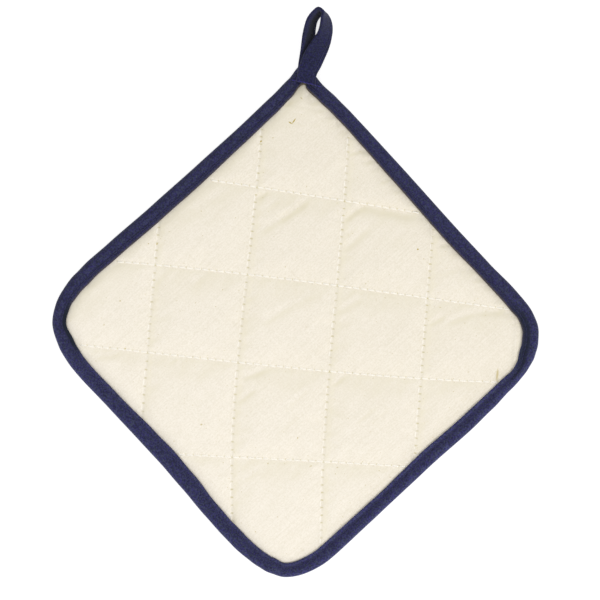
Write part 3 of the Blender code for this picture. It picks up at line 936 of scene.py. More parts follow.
@dataclass(frozen=True)
class Calico:
    """Unbleached plain-weave cotton: cream, slubbed both ways, with bits of husk in it.

    A seam's places are counted from the sewn line towards its dark side, where shade is painted.
    """

    cream: Colour = (0.864, 0.808, 0.712, 1.0)
    # this warm colour is the calico's painted shade
    shade_honey: Colour = (0.815, 0.757, 0.600, 1.0)
    straw: Colour = (0.715, 0.656, 0.530, 1.0)
    husk: Colour = (0.415, 0.310, 0.016, 1.0)
    hole_shade_ochre: Colour = (0.420, 0.355, 0.060, 1.0)
    roughness: float = 0.93
    thread_pitch: float = 0.42 * MM
    relief: float = 0.035 * MM
    slub_relief: float = 1.2
    weave_hollow_shade: float = 0.07
    long_slubs: Grain = Grain((35.0, 1300.0, 35.0), 0.40, 0.70, 0.21, detail=3.0, turn=WEAVE_TURN)
    cross_slubs: Grain = Grain((1700.0, 90.0, 90.0), 0.40, 0.75, 0.11, turn=WEAVE_TURN)
    clouds: Grain = Grain((28.0, 28.0, 28.0), 0.35, 0.70, 0.06, detail=3.0)
    nap: Grain = Grain((1050.0, 1350.0, 1050.0), 0.35, 0.65, 0.46, rough=0.6, turn=WEAVE_TURN)
    pepper: Grain = Grain((900.0, 900.0, 300.0), 0.74, 0.80, 0.45, detail=1.0)
    fleck_rim: Span = (0.45, 1.0)
    fleck_gain: float = 1.2
    face_above: float = 3.0 * MM
    straw_toward_upper_right: float = 1.0
    edge_shade: Span = (121.0 * MM, 133.0 * MM)
    turned_shade_gain: float = 1.7
    field: float = 48.0 * MM
    stitches: float = 12.0
    seam_start: Span = (-0.6, -0.5)
    seam_end: Span = (3.5, 3.6)
    pull: Grain = Grain((420.0, 420.0, 420.0), 0.36, 0.62, detail=1.0)
    hole: float = 0.46 * MM
    hole_rim: Span = (0.20, 1.30)
    least_hole: float = 0.45
    shade_place: float = 1.4 * MM
    shade_reach: float = 2.6 * MM
    shade_from: Span = (-0.2 * MM, 0.5 * MM)
    least_shade: float = 0.5
    groove: float = 0.30 * MM
    groove_place: float = -0.5 * MM
    groove_reach: float = 1.7 * MM
    up_seam: SeamLook = SeamLook(0.00, 0.85, 0.50, 0.36, 0.85)
    across_seam: SeamLook = SeamLook(-0.70, 0.50, 0.34, 0.04, 0.20)

    def flecks(self, shading: Shading, rows: Sequence[FleckRow]) -> Field:
        """Return how much husk and painted shadow shows: each fleck's depth in a soft-edged ellipse.

        Args:
            shading: the material.
            rows: the flecks.

        Returns:
            0 where no husk shows, up to 1.
        """
        start = shading.node("ShaderNodeTexCoord", {}, {}).outputs["Object"]
        flat = shading.node("ShaderNodeVectorMath", {"operation": "MULTIPLY"},
                            {0: start, 1: (1.0, 1.0, 0.0)})
        marks = []
        for row in rows:
            inside = shading.node("ShaderNodeMapping", {"vector_type": "TEXTURE"}, {
                "Vector": flat.outputs[0], "Location": (row.x * MM, row.y * MM, 0.0),
                "Rotation": (0.0, 0.0, row.turn), "Scale": (row.length * MM, row.width * MM, 1.0)})
            reach = shading.value("ShaderNodeVectorMath", {"operation": "LENGTH"},
                                  {0: inside.outputs[0]}, "Value")
            marks.append((1.0 - reach.between(*self.fleck_rim)) * row.depth)
        on_face = shading.axes(start)[2].between(self.face_above, self.face_above + MM)
        return (summed(marks) * self.fleck_gain * on_face).held()

    def seams(self, shading: Shading) -> tuple[Field, Field, Field]:
        """Return how the sewn lines look.

        The pad's UV place is its share of the quilting's fields, so a seam runs along every whole
        number. A hole is a round spot of painted shade at each stitch's end, and the shade painted on
        the dark side and the groove are parabolas across the seam.

        Args:
            shading: the material.

        Returns:
            How much painted shade of a needle hole and of a seam's dark side shows, and how much of its
            groove.
        """
        up, across, _ = shading.axes(shading.place("UV"))
        uneven = self.pull.tone(self.pull.noise(shading))
        needle, dark, groove = [], [], []
        for seam, along, side, look in ((up, across, 1.0, self.up_seam),
                                        (across, up, -1.0, self.across_seam)):
            offset = seam.wrapped() * (self.field * side)
            run = (along * self.stitches).wrapped() * (self.field / self.stitches)
            # painted shade: a round ochre spot in each needle hole, for the hole's shade and the
            # thread's shadow
            spot = (((offset - look.hole_place * MM) / (look.hole_width * MM)) ** 2.0
                    + (run / self.hole) ** 2.0)
            sewn = seam.between(*self.seam_start) * (1.0 - seam.between(*self.seam_end))
            pulled = uneven * (1.0 - self.least_hole) + self.least_hole
            needle.append((1.0 - spot.between(*self.hole_rim)) * pulled * sewn * look.hole_shade)
            # painted shade on the seam's dark side, where the cloth turns from the light
            pulled = uneven * (1.0 - self.least_shade) + self.least_shade
            shade = offset.hump(self.shade_place, self.shade_reach) * offset.between(*self.shade_from)
            dark.append(shade * pulled * look.dark)
            hollow = offset.hump(self.groove_place, self.groove_reach)
            groove.append(hollow * hollow * look.groove)
        return tuple(summed(parts).held() for parts in (needle, dark, groove))

    def material(self) -> Material:
        """Make the finish.

        Returns:
            The material.
        """
        shading = Shading("calico", Sheen_Weight=0.12, Sheen_Roughness=0.6, Specular_IOR_Level=0.18)
        across, along, _ = shading.axes(shading.place(turn=WEAVE_TURN))
        weave = shading.weave(across, along, self.thread_pitch)
        grains = (self.long_slubs, self.cross_slubs, self.clouds, self.nap)
        noises = [grain.noise(shading) for grain in grains]
        # painted shade: the tone goes towards straw in the weave's hollows
        tone = summed(map(Grain.tone, grains, noises)) + (1.0 - weave) * self.weave_hollow_shade
        needle, dark, groove = self.seams(shading)
        x, y, _ = shading.axes(shading.place())
        # painted shadow of the binding: the calico goes darker just inside the edge, by each side's
        # beside column
        edge = summed((x * row.x + y * row.y).between(*self.edge_shade) * row.beside
                      for row in PAINTED_LIGHT_ROWS)
        # the tone goes further towards straw towards +X and +Y, the upper right
        woven = shading.mix((tone + edge + (x + y) * self.straw_toward_upper_right).held(), self.cream, self.straw)
        # painted shade: the colour goes towards a warm shade where the face turns away from the light
        # and on each seam's dark side
        turned = shading.mark(TURNED_AWAY) * self.turned_shade_gain
        folded = shading.mix((turned + dark).held(), woven, self.shade_honey)
        # painted shade of the needle holes, in ochre
        ground = shading.mix(needle, folded, self.hole_shade_ochre)
        specks = self.pepper.tone(self.pepper.noise(shading))
        colour = shading.mix((self.flecks(shading, FLECK_ROWS) + specks).held(), ground, self.husk)
        long_slubs, cross_slubs = noises[:2]
        relief = (weave + long_slubs * self.slub_relief + cross_slubs) * self.relief
        shading.finish(colour, self.roughness, relief - groove * self.groove)
        return shading.material


@dataclass(frozen=True)
class NavyTape:
    """Navy plain-weave cotton tape, mottled by its dye.

    With painted light, its lip, groove and roll are painted lighter or darker side by side as they face
    towards or away from the light, its inner edge is painted tawny and parts of it lie in a painted
    deep shade. Places across it run from the outer fold's edge at 46.5 mm over the roll, the groove at
    54.3 mm and the lip to the inner edge at 57 mm. On the strap, inner is the stretch across that faces
    inwards, where shade is painted. It narrows by rim_growth from rim_from to rim_to along the strap.
    """

    name: str = "navy_tape_cloth"
    dark: Colour = (0.0088, 0.0078, 0.038, 1.0)
    lit: Colour = (0.0320, 0.0275, 0.134, 1.0)
    grey_dark: Colour = (0.0130, 0.0160, 0.034, 1.0)
    grey_lit: Colour = (0.0455, 0.0540, 0.094, 1.0)
    roughness: float = 0.86
    thread_pitch: float = 0.36 * MM
    relief: float = 0.040 * MM
    mottle: Grain = Grain((1400.0, 1400.0, 1400.0), 0.42, 0.58, 0.70, rough=0.6)
    patches: Grain = Grain((170.0, 170.0, 170.0), 0.35, 0.65, 0.15)
    lint: Grain = Grain((400.0, 1500.0, 1.0), 0.6, 0.8, 0.2, source="UV")
    hue: Grain = Grain((950.0, 950.0, 700.0), 0.30, 0.70, detail=1.0)
    lint_relief: float = 0.8
    lint_roughness: float = 0.1
    inner: Span | None = None
    inner_fade: float = 0.8 * MM
    inner_share: float = 0.75
    painted_inner_shade: Colour = (0.004, 0.006, 0.010, 1.0)
    rim_from: float = 20.0 * MM
    rim_to: float = 31.0 * MM
    rim_growth: float = 2.6 * MM
    with_painted_light: bool = False
    side_from: Span = (118.0 * MM, 140.0 * MM)
    roll_to: Span = (47.8 * MM, 51.8 * MM)
    groove_from: Span = (53.0 * MM, 53.9 * MM)
    lip_from: Span = (54.5 * MM, 55.3 * MM)
    edge_from: Span = (55.6 * MM, 56.3 * MM)
    tawny: Colour = (0.110, 0.088, 0.055, 1.0)
    tawny_gain: float = 0.8
    deep: Colour = (0.006, 0.010, 0.017, 1.0)
    deep_core: float = 0.25
    deep_fade: float = 0.4 * MM

    def painted_side_light(self, shading: Shading, across: Field) -> tuple[Field, Field]:
        """Return the tape's painted light, from its place across and the side that it lies on.

        Args:
            shading: the material.
            across: the place across the tape.

        Returns:
            How bright the painted light makes the tape against its own mean, and how tawny its edge is
            painted.
        """
        x, y, _ = shading.axes(shading.place())
        lip = across.between(*self.lip_from)
        groove = (across.between(*self.groove_from) * (1.0 - lip)).held()
        roll = 1.0 - across.between(*self.roll_to)
        edge = across.between(*self.edge_from)
        gains, tawny = [], []
        for row in PAINTED_LIGHT_ROWS:
            side = (x * row.x + y * row.y).between(*self.side_from)
            gains.append(side * (lip * row.lip + groove * row.groove + roll * row.roll))
            tawny.append(side * edge * row.tawny)
        return summed(gains) + 1.0, (summed(tawny) * self.tawny_gain).held()

    def shade(self, shading: Shading, across: Field) -> Field:
        """Return how deep the tape's shade is: full near each row's place and gone at its reach.

        Args:
            shading: the material.
            across: the place across the tape.

        Returns:
            0 where there is no shade, up to 1.
        """
        x, y, _ = shading.axes(shading.place())
        shades = []
        for row in SHADE_ROWS:
            east, north, reach = x - row.x * MM, y - row.y * MM, (row.reach * MM) ** 2
            near = 1.0 - (east * east + north * north).between(self.deep_core * reach, reach)
            shades.append(near * across.within(row.low * MM, row.high * MM, self.deep_fade) * row.depth)
        return summed(shades).held()

    def kept(self, along: Field, across: Field) -> Field:
        """Return how much painted shade darkens the stretch that faces inwards.

        Args:
            along: the place along the tape.
            across: the place across it.

        Returns:
            0 outside the stretch, up to inner_share inside.
        """
        low, high = self.inner
        rim = along.between(self.rim_from, self.rim_to) * self.rim_growth
        below = 1.0 - (across + rim).between(high - self.inner_fade, high)
        return (across.between(low, low + self.inner_fade) * below).held() * self.inner_share

    def material(self) -> Material:
        """Make the finish.

        Returns:
            The material.
        """
        shading = Shading(self.name, Sheen_Weight=0.10, Sheen_Roughness=0.5, Specular_IOR_Level=0.22)
        along, across, _ = shading.axes(shading.place("UV"))
        weave = shading.weave(along, across, self.thread_pitch)
        grains = (self.mottle, self.patches, self.lint)
        noises = [grain.noise(shading) for grain in grains]
        tone = summed(map(Grain.tone, grains, noises)).held()
        blue = shading.mix(tone, self.dark, self.lit)
        grey = shading.mix(tone, self.grey_dark, self.grey_lit)
        colour = shading.mix(self.hue.tone(self.hue.noise(shading)), blue, grey)
        if self.inner:
            # painted shade on the strap's stretch that faces into the loop
            colour = shading.mix(self.kept(along, across), colour, self.painted_inner_shade)
        if self.with_painted_light:
            # painted light and shade: the tape's lip, groove and roll lighter or darker by the side
            # they face, and a painted tawny inner edge
            gain, tawny = self.painted_side_light(shading, across)
            colour = shading.mix(tawny, shading.scaled(colour, gain), self.tawny)
            # painted deep shade on the stretches in SHADE_ROWS
            colour = shading.mix(self.shade(shading, across), colour, self.deep)
        lint = noises[-1]
        shading.finish(colour, self.roughness + lint * self.lint_roughness,
                       (weave + lint * self.lint_relief) * self.relief)
        return shading.material


@dataclass(frozen=True)
class Thread:
    """Sewing thread: its colour, its radius, the record's slot for it, and the twist of its plies."""

    name: str
    colour: Colour
    shade: Colour
    radius: float
    slot: Slot = Slot.TAPE
    plies: float = 3.0
    twist_pitch: float = 0.9 * MM
    relief_share: float = 0.25
    roughness: float = 0.8

    @cache
    def material(self) -> Material:
        """Make the finish, once for all that is sewn with the thread.

        Returns:
            The material.
        """
        shading = Shading(self.name, Sheen_Weight=0.1, Specular_IOR_Level=0.3)
        along, around, _ = shading.axes(shading.place("UV"))
        plies = (around * self.plies + along / self.twist_pitch).wave() * 0.5 + 0.5
        colour = shading.mix(plies, self.shade, self.colour)
        shading.finish(colour, self.roughness, plies * (self.radius * self.relief_share))
        return shading.material


CREAM_THREAD = Thread("cream_thread", (0.95, 0.912, 0.83, 1.0), (0.915, 0.868, 0.77, 1.0), 0.41 * MM,
                      Slot.CALICO)
NAVY_THREAD = Thread("navy_thread", (0.030, 0.030, 0.110, 1.0), (0.016, 0.016, 0.055, 1.0), 0.20 * MM)
TACK_THREAD = Thread("blue_thread", (0.032, 0.021, 0.245, 1.0), (0.018, 0.013, 0.130, 1.0), 0.24 * MM)


# ---- stitches ----

@dataclass(frozen=True)
class Stitching:
    """A row of separate stitches: how far each stands out of the cloth, dips at its ends and leans,
    and how many times wider than round it is pressed."""

    thread: Thread
    stand: float
    dip: float
    lean: float = 0.0
    flat: float = 1.0
    power: float = 4.0
    thinning: float = 0.6
    thinning_power: int = 6
    rings: int = 6
    sides: int = 6

    def sew(self, name: str, starts: Array, ends: Array, out: Array) -> Piece:
        """Sew one stitch from each start to its end.

        A stitch's middle line runs straight from hole to hole and arches out of the cloth: out times
        (stand + dip) * (1 - (2t - 1)^power) - dip. Its section is round, or pressed flat times wider
        and as much thinner. It thins towards both ends, which stand lean to either side of the line.

        Args:
            name: the piece's name.
            starts: the holes where the stitches start, (count, 3).
            ends: the holes where they end.
            out: the way out of the cloth, one vector or one for each stitch.

        Returns:
            All the stitches as one piece.
        """
        count = len(starts)
        out = unit(np.broadcast_to(out, starts.shape))
        side = unit(np.cross(out, unit(ends - starts))) * self.lean
        t = np.linspace(0.0, 1.0, self.rings)[None, :, None]
        first = (starts + side)[:, None, :]
        last = (ends - side)[:, None, :]
        arch = (self.stand + self.dip) * (1.0 - np.abs(2.0 * t - 1.0) ** self.power) - self.dip
        line = first + (last - first) * t + out[:, None, :] * arch
        tangent = unit(np.gradient(line, axis=1))
        across = unit(np.cross(out[:, None, :], tangent))
        rise = np.cross(tangent, across)
        turn = np.arange(self.sides) / self.sides * math.tau
        thin = 1.0 - self.thinning * (2.0 * t - 1.0) ** self.thinning_power
        ring = (across[:, :, None, :] * (np.cos(turn) * self.flat)[:, None]
                + rise[:, :, None, :] * (np.sin(turn) / self.flat)[:, None])
        points = line[:, :, None, :] + ring * (self.thread.radius * thin[..., None])
        length = float(np.linalg.norm(ends - starts, axis=-1).mean())
        shell = skin_faces(np.linspace(0.0, length, self.rings), np.linspace(0.0, 1.0, self.sides + 1),
                           self.rings, self.sides)
        caps = end_faces(self.rings, self.sides)
        shift = (np.arange(count) * self.rings * self.sides)[:, None, None]
        groups = [Faces((group.corners[None] + shift).reshape(-1, group.corners.shape[1]),
                        np.tile(group.places, (count, 1, 1))) for group in (shell, caps)]
        return make_piece(name, points.reshape(-1, 3), groups, self.thread.material(), self.thread.slot)


QUILTING_STITCH = Stitching(CREAM_THREAD, stand=0.10 * MM, dip=0.32 * MM, lean=0.10 * MM, flat=1.15)
TOPSTITCH = Stitching(NAVY_THREAD, stand=0.18 * MM, dip=0.12 * MM, lean=0.10 * MM)
STRAP_STITCH = Stitching(NAVY_THREAD, stand=0.16 * MM, dip=0.12 * MM)
TACK_STITCH = Stitching(TACK_THREAD, stand=0.28 * MM, dip=0.10 * MM, lean=0.20 * MM)


# ---- the square's edge ----

@dataclass(frozen=True)
class BoundEdge:
    """The line of the bound edge: a square with rounded corners that wanders a little.

    A place round it is a turn: anticlockwise from the corner with the loop, counted in sides, a whole
    number at a corner's middle and a half at a side's middle.
    """

    side: float = 203.2 * MM
    radii: tuple[float, ...] = (35.0 * MM, 32.0 * MM, 33.0 * MM, 2.5 * MM)
    smallest_radius: float = 0.4 * MM
    smallest_step: float = 1e-9
    first_normal: float = math.radians(135.0)
    rows: dict[Side, tuple[EdgeRow, ...]] = field(default_factory=EDGE_ROWS.copy)

    def values(self, turn: Array) -> Array:
        """Blend the edge's rows by smoothstep.

        Args:
            turn: turns, of any shape.

        Returns:
            out, width, ditch and height at each turn, on a new last axis.
        """
        pairs = [(side, row) for side, rows in self.rows.items() for row in rows]
        places = np.array([side.value + 0.5 + row.along * MM / self.side for side, row in pairs])
        table = np.array([row[1:] for _, row in pairs]) * MM
        places = np.concatenate([[places[-1] - len(Side)], places, [places[0] + len(Side)]])
        table = np.concatenate([table[-1:], table, table[:1]])
        turn = np.mod(turn, float(len(Side)))
        low = np.clip(np.searchsorted(places, turn, side="right") - 1, 0, len(places) - 2)
        share = (turn - places[low]) / (places[low + 1] - places[low])
        return table[low] + (table[low + 1] - table[low]) * smoothstep(share)[..., None]

    def points(self, turn: Array, inset: Array, out: Array) -> Array:
        """Draw the edge in by inset and move it out along its normal.

        On a side the point slides along the straight run between its two corner arcs. At a corner it
        swings on the arc. The arcs' radii shrink with the inset but keep the smallest radius.

        Args:
            turn: turns.
            inset: how far the edge is drawn in at each.
            out: how far it is moved out at each.

        Returns:
            The plan points, (..., 2).
        """
        turn, inset, out = np.broadcast_arrays(turn, inset, out)
        radii = np.array(self.radii)
        corner = np.rint(turn).astype(int)
        reach = radii[(corner - 1) % len(Side)] / self.side
        at_corner = np.abs(turn - corner) < reach
        side = np.where(at_corner, corner - 1, np.floor(turn).astype(int))
        before = radii[(side - 1) % len(Side)]
        after = radii[side % len(Side)]
        small_before = np.maximum(before - inset, self.smallest_radius)
        small_after = np.maximum(after - inset, self.smallest_radius)
        half = self.side / 2 - inset
        angle = self.first_normal + side * QUARTER
        normal = circled(angle)
        tangent = quarter_turned(normal)
        share = (turn - side - before / self.side) / (1.0 - (before + after) / self.side)
        slide = small_before - half + (2 * half - small_before - small_after) * share
        straight = normal * (half + out)[..., None] + tangent * slide[..., None]
        swing = angle + (turn - corner + reach) / (2 * reach) * QUARTER
        centre = (normal + tangent) * (half - small_after)[..., None]
        bend = centre + circled(swing) * (small_after + out)[..., None]
        return np.where(at_corner[..., None], bend, straight)

    def locate(self, plan: Array) -> tuple[Array, Array]:
        """Find where plan points lie in the true rounded square.

        Beside a side the depth is the distance to that side, and within a corner's square it is the
        radius less the distance to the arc's centre.

        Args:
            plan: plan points, (..., 2).

        Returns:
            How far each point lies inside the edge, and its turn.
        """
        depth = np.full(plan.shape[:-1], np.inf)
        turn = np.zeros(plan.shape[:-1])
        half = self.side / 2
        normals = [circled(np.array(self.first_normal + side.value * QUARTER)) for side in Side]
        for side, normal in zip(Side, normals):
            here = half - plan @ normal
            nearer = here < depth
            depth = np.where(nearer, here, depth)
            turn = np.where(nearer, side.value + 0.5 + plan @ quarter_turned(normal) / self.side, turn)
        for side, normal, radius in zip(Side, normals, self.radii):
            first = plan @ normal - (half - radius)
            second = plan @ quarter_turned(normal) - (half - radius)
            inside = (first > 0.0) & (second > 0.0)
            swing = np.arctan2(np.maximum(second, self.smallest_step),
                               np.maximum(first, self.smallest_step)) / QUARTER
            depth = np.where(inside, radius - np.hypot(first, second), depth)
            turn = np.where(inside, side.value + 1 + (2 * swing - 1) * radius / self.side, turn)
        return depth, turn


# ---- the pad ----

@dataclass(frozen=True)
class Quilting:
    """The quilting lines, each a cubic through its five stations."""

    rows: tuple[QuiltRow, ...] = QUILT_ROWS
    degree: int = 3
    rounds: int = 6

    def places(self, run: Run, along: Array) -> Array:
        """Fit the lines of a run.

        Args:
            run: the run.
            along: distances along the lines, of any shape.

        Returns:
            Each line's place across there, (lines, ...).
        """
        table = np.array([row[1:] for row in self.rows if row.run is run]) * MM
        curves = np.polynomial.polynomial.polyfit(np.array(STATIONS) * MM, table.T, self.degree)
        return np.polynomial.polynomial.polyval(along, curves)

    def between(self, run: Run, share: Array, along: Array) -> Array:
        """Blend two lines of a run.

        Args:
            run: the run.
            share: a whole number on a line, and a share of the field between two.
            along: distances along the lines.

        Returns:
            The place across.
        """
        places = self.places(run, along)
        low = np.clip(np.floor(share).astype(int), 0, len(places) - 2)
        first = np.take_along_axis(places, low[None], axis=0)[0]
        second = np.take_along_axis(places, low[None] + 1, axis=0)[0]
        return first + (second - first) * (share - low)

    def plan(self, up: Array, across: Array) -> Array:
        """Find where the grid's lines cross, by going round the two rules a few times.

        Args:
            up: the shares of the grid's upright lines.
            across: the shares of its cross lines.

        Returns:
            The plan points, (up, across, 2).
        """
        up, across = np.meshgrid(up, across, indexing="ij")
        x = np.zeros(up.shape)
        y = np.zeros(up.shape)
        for _ in range(self.rounds):
            x = self.between(Run.UP, up, y)
            y = self.between(Run.ACROSS, across, x)
        return np.stack([x, y], axis=-1)

    def distance(self, run: Run, plan: Array) -> Array:
        """Return each plan point's distance to the nearest line of a run."""
        away = plan[..., run.value] - self.places(run, plan[..., 1 - run.value])
        return np.abs(away).min(axis=0)


class Lie(NamedTuple):
    """How the pad's two faces lie at the points of its grid.

    within is how far a point lies inside the outer edge and inside how far inside the tape's lip, turn
    its place round the edge and out how far the edge stands out there. top and bottom are the faces'
    heights, and rim_top and rim_bottom those of the pressed rim.
    """

    within: Array
    turn: Array
    out: Array
    inside: Array
    top: Array
    bottom: Array
    rim_top: Array
    rim_bottom: Array


CLOTH_SETTINGS = {
    "quality": 7, "mass": 0.25, "tension_stiffness": 20.0, "compression_stiffness": 12.0,
    "shear_stiffness": 6.0, "bending_stiffness": 4.0, "air_damping": 2.0, "use_pressure": True,
    "uniform_pressure_force": 2.0, "shrink_min": -0.003,
}


@dataclass
class QuiltedPad:
    """Two calico cloths and their filling, quilted together, drawn in at the edge by the binding."""

    edge: BoundEdge
    quilting: Quilting
    cells: int = 24
    cells_before: tuple[int, int] = (30, 34)
    cells_after: tuple[int, int] = (32, 37)
    finer: int = 2
    rim_inset: float = 2.1 * MM
    rim_margin: float = 0.2 * MM
    rim_share: float = 0.24
    top_drop: float = 1.85 * MM
    pressed_bottom: float = 1.35 * MM
    stitch_inset: float = 2.4 * MM
    stitch_reach: float = 1.6 * MM
    free_ditch: float = 0.3 * MM
    crown: float = 7.1 * MM
    channel: float = 4.5 * MM
    up_reach: float = 6.5 * MM
    across_reach: float = 7.0 * MM
    edge_reach: float = 6.0 * MM
    light_turn: float = 2.5
    light_span: float = 0.8
    light_growth: float = 0.4
    gutter: float = 0.30 * MM
    gutter_place: float = 1.2 * MM
    gutter_reach: float = 2.6 * MM
    back_fullness: float = 2.0
    line_grooves: tuple[float, float] = (0.05, 0.0)
    hole_pit: float = 0.10
    groove_reach: float = 1.05 * MM
    pucker: float = 0.16 * MM
    pucker_near: float = 1.5 * MM
    pucker_far: float = 5.0 * MM
    puckers: tuple[Ripple, ...] = (Ripple(4.0 * MM, 9.0 * MM, 5, 0.25),
                                   Ripple(4.0 * MM, 9.0 * MM, 6, 0.25))
    crease_scale: float = 1.25
    crease_fade: float = 3.5
    shoulder: float = 0.22
    shoulder_width: float = 2.2
    unrest: float = 0.14 * MM
    waves: Ripple = Ripple(12.0 * MM, 40.0 * MM, 3)
    gather: float = 0.40 * MM
    gather_place: float = 1.0 * MM
    folds: Ripple = Ripple(3.5 * MM, 9.0 * MM, 8, 0.3)
    gather_reach: float = 3.6 * MM
    gathered_from: float = 2.95
    gathered_rate: float = 8.0
    gathered_shares: Span = (0.08, 0.92)
    shown_over: float = 3.0 * MM
    back_share: float = 0.8
    away_slopes: Span = (0.5, 0.87)
    pinned_inside: float = 1.0 * MM
    most_rise: float = 1.6 * MM
    most_slide: float = 0.7 * MM
    frames: int = 24
    holes: int = 4
    thread_side: tuple[int, int] = (-1, 1)
    thread_shift: Span = (0.85, 0.36)
    thread_sunk: Span = (0.34 * MM, 0.02 * MM)
    bare_inside: float = -0.3 * MM
    top_grid: Array = field(init=False, repr=False)
    bottom_grid: Array = field(init=False, repr=False)
    inside_grid: Array = field(init=False, repr=False)
    used: Array = field(init=False, repr=False)

    def grid_shares(self, finer: int) -> list[Array]:
        """Return the shares of the grid's lines each way, finer times as many to a field.

        Args:
            finer: how many times as many lines as cells.

        Returns:
            The shares of the upright lines and of the cross lines.
        """
        last = sum(row.run is Run.UP for row in self.quilting.rows) - 1
        return [np.linspace(-before / self.cells, last + after / self.cells,
                            (before + last * self.cells + after) * finer + 1)
                for before, after in zip(self.cells_before, self.cells_after)]

    def lie(self, plan: Array) -> Lie:
        """Work out how the two faces lie.

        fill is 0 on a sewn line or at the lip and 1 in a full crown. The top rises from the pressed
        edge to the channels' level and from there by fill to the crown. The bottom sinks from the
        pressed edge's level to the table by fill.

        Args:
            plan: plan points, (..., 2).

        Returns:
            The lie at each point.
        """
        depth, turn = self.edge.locate(plan)
        out, width, ditch, height = np.moveaxis(self.edge.values(turn), -1, 0)
        inside = depth + out - width
        facing_light = bell(np.mod(turn, float(len(Side))) - self.light_turn, self.light_span)
        settle = swell(inside, self.edge_reach * (1.0 + self.light_growth * facing_light))
        fill = settle * swell(self.quilting.distance(Run.UP, plan), self.up_reach)
        fill = fill * swell(self.quilting.distance(Run.ACROSS, plan), self.across_reach)
        stitched = (np.maximum(ditch - self.free_ditch, 0.0)
                    * bell(inside + self.stitch_inset, self.stitch_reach))
        pressed = height - self.top_drop - stitched
        sewn = pressed + (self.channel - pressed) * settle
        top = sewn + (self.crown - self.channel) * fill
        beside = bell(inside - self.gutter_place, self.gutter_reach)
        top = top - self.gutter * (1.0 - facing_light) * beside
        bottom = np.maximum(self.pressed_bottom * (1.0 - self.back_fullness * fill), 0.0)
        middle = (height - self.top_drop + self.pressed_bottom) / 2
        half_rim = (height - self.top_drop - self.pressed_bottom) * self.rim_share
        return Lie(depth + out, turn, out, inside, top, bottom, middle + half_rim, middle - half_rim)

    def puff(self, face: Array, within: Array, pinned: Array) -> Array:
        """Let Blender's cloth fill out the face between its sewn lines.

        Args:
            face: the face's points on the grid, (columns, rows, 3).
            within: which of them lie on the cloth.
            pinned: which of them the stitches hold.

        Returns:
            The points when the cloth has settled, each moved no further than the caps allow.
        """
        number = np.cumsum(within.ravel()).reshape(within.shape) - 1
        whole = cell_corners(within).all(axis=-1)
        mesh = bpy.data.meshes.new("face_cloth")
        mesh.from_pydata(face[within].tolist(), [], cell_corners(number)[whole].tolist())
        cloth = put("face_cloth", mesh)
        held = cloth.vertex_groups.new(name="sewn")
        held.add(np.flatnonzero(pinned[within]).tolist(), 1.0, "REPLACE")
        made = cloth.modifiers.new("cloth", "CLOTH")
        for name, value in CLOTH_SETTINGS.items():
            setattr(made.settings, name, value)
        made.settings.vertex_group_mass = held.name
        made.settings.effector_weights.gravity = 0.0
        made.point_cache.frame_start = 1
        made.point_cache.frame_end = self.frames
        scene = bpy.context.scene
        for step in range(1, self.frames + 1):
            scene.frame_set(step)
        settled = cloth.evaluated_get(bpy.context.evaluated_depsgraph_get())
        moved = np.empty(len(mesh.vertices) * 3, dtype=np.float32)
        settled.data.vertices.foreach_get("co", moved)
        bpy.data.objects.remove(cloth, do_unlink=True)
        scene.frame_set(1)
        shift = moved.reshape(-1, 3).astype(float) - face[within]
        LOG.info("cloth rose %.2f to %.2f mm", shift[:, 2].min() / MM, shift[:, 2].max() / MM)
        limits = np.array([self.most_slide, self.most_slide, self.most_rise])
        result = face.copy()
        result[within] += limits * np.tanh(shift / limits)
        return result

    def settle(self, face: Array, lie: Lie) -> Array:
        """Run the cloth on the grid, held along the quilting lines and under the binding.

        Args:
            face: the face's points on the grid, (columns, rows, 3).
            lie: how the pad lies there.

        Returns:
            The settled points.
        """
        on_line = np.zeros(lie.inside.shape, dtype=bool)
        on_line[self.cells_before[0] % self.cells::self.cells, :] = True
        on_line[:, self.cells_before[1] % self.cells::self.cells] = True
        pinned = on_line | (lie.inside < self.pinned_inside)
        return self.puff(face, lie.within > self.rim_inset, pinned)

    def needlework(self, plan: Array) -> Array:
        """Shape the sewn lines: a narrow groove, a pit at each needle hole, and ripples that run away
        from the line and die out a few millimetres from it.

        Args:
            plan: the grid's plan points, (columns, rows, 2).

        Returns:
            The relief at each point.
        """
        relief = np.zeros(plan.shape[:-1])
        steps = np.indices(relief.shape)
        for run, groove, puckers in zip(Run, self.line_grooves, self.puckers):
            away = self.quilting.distance(run, plan)
            pits = wave_of(steps[1 - run.value], self.holes)
            relief -= (groove + self.hole_pit * pits) * MM * bell(away, self.groove_reach)
            relief += (self.pucker * puckers.over(plan[..., 1 - run.value], plan[..., run.value])
                       * bell(away, self.pucker_far) * (1.0 - bell(away, self.pucker_near)))
        return relief

    def creases(self, plan: Array, rows: Sequence[CreaseRow]) -> Array:
        """Shape the hand-laid folds.

        Across a fold the relief is a bell with a low shoulder on each side. Along it the depth fades
        to nothing at both ends, and its middle bows sideways.

        Args:
            plan: the grid's plan points, (columns, rows, 2).
            rows: the folds.

        Returns:
            The relief at each point.
        """
        relief = np.zeros(plan.shape[:-1])
        for row in rows:
            start = np.array([row.start_x, row.start_y]) * MM
            stop = np.array([row.end_x, row.end_y]) * MM
            length = float(np.linalg.norm(stop - start))
            way = (stop - start) / length
            along = (plan - start) @ way / length
            bow = row.bow * MM * (1.0 - (2.0 * along - 1.0) ** 2)
            away = (plan - start) @ quarter_turned(way) - bow
            fade = smoothstep(np.minimum(along, 1.0 - along) * self.crease_fade)
            width = row.width * MM
            across = bell(away, width) - self.shoulder * bell(away, self.shoulder_width * width)
            relief -= self.crease_scale * row.depth * MM * fade * across
        return relief

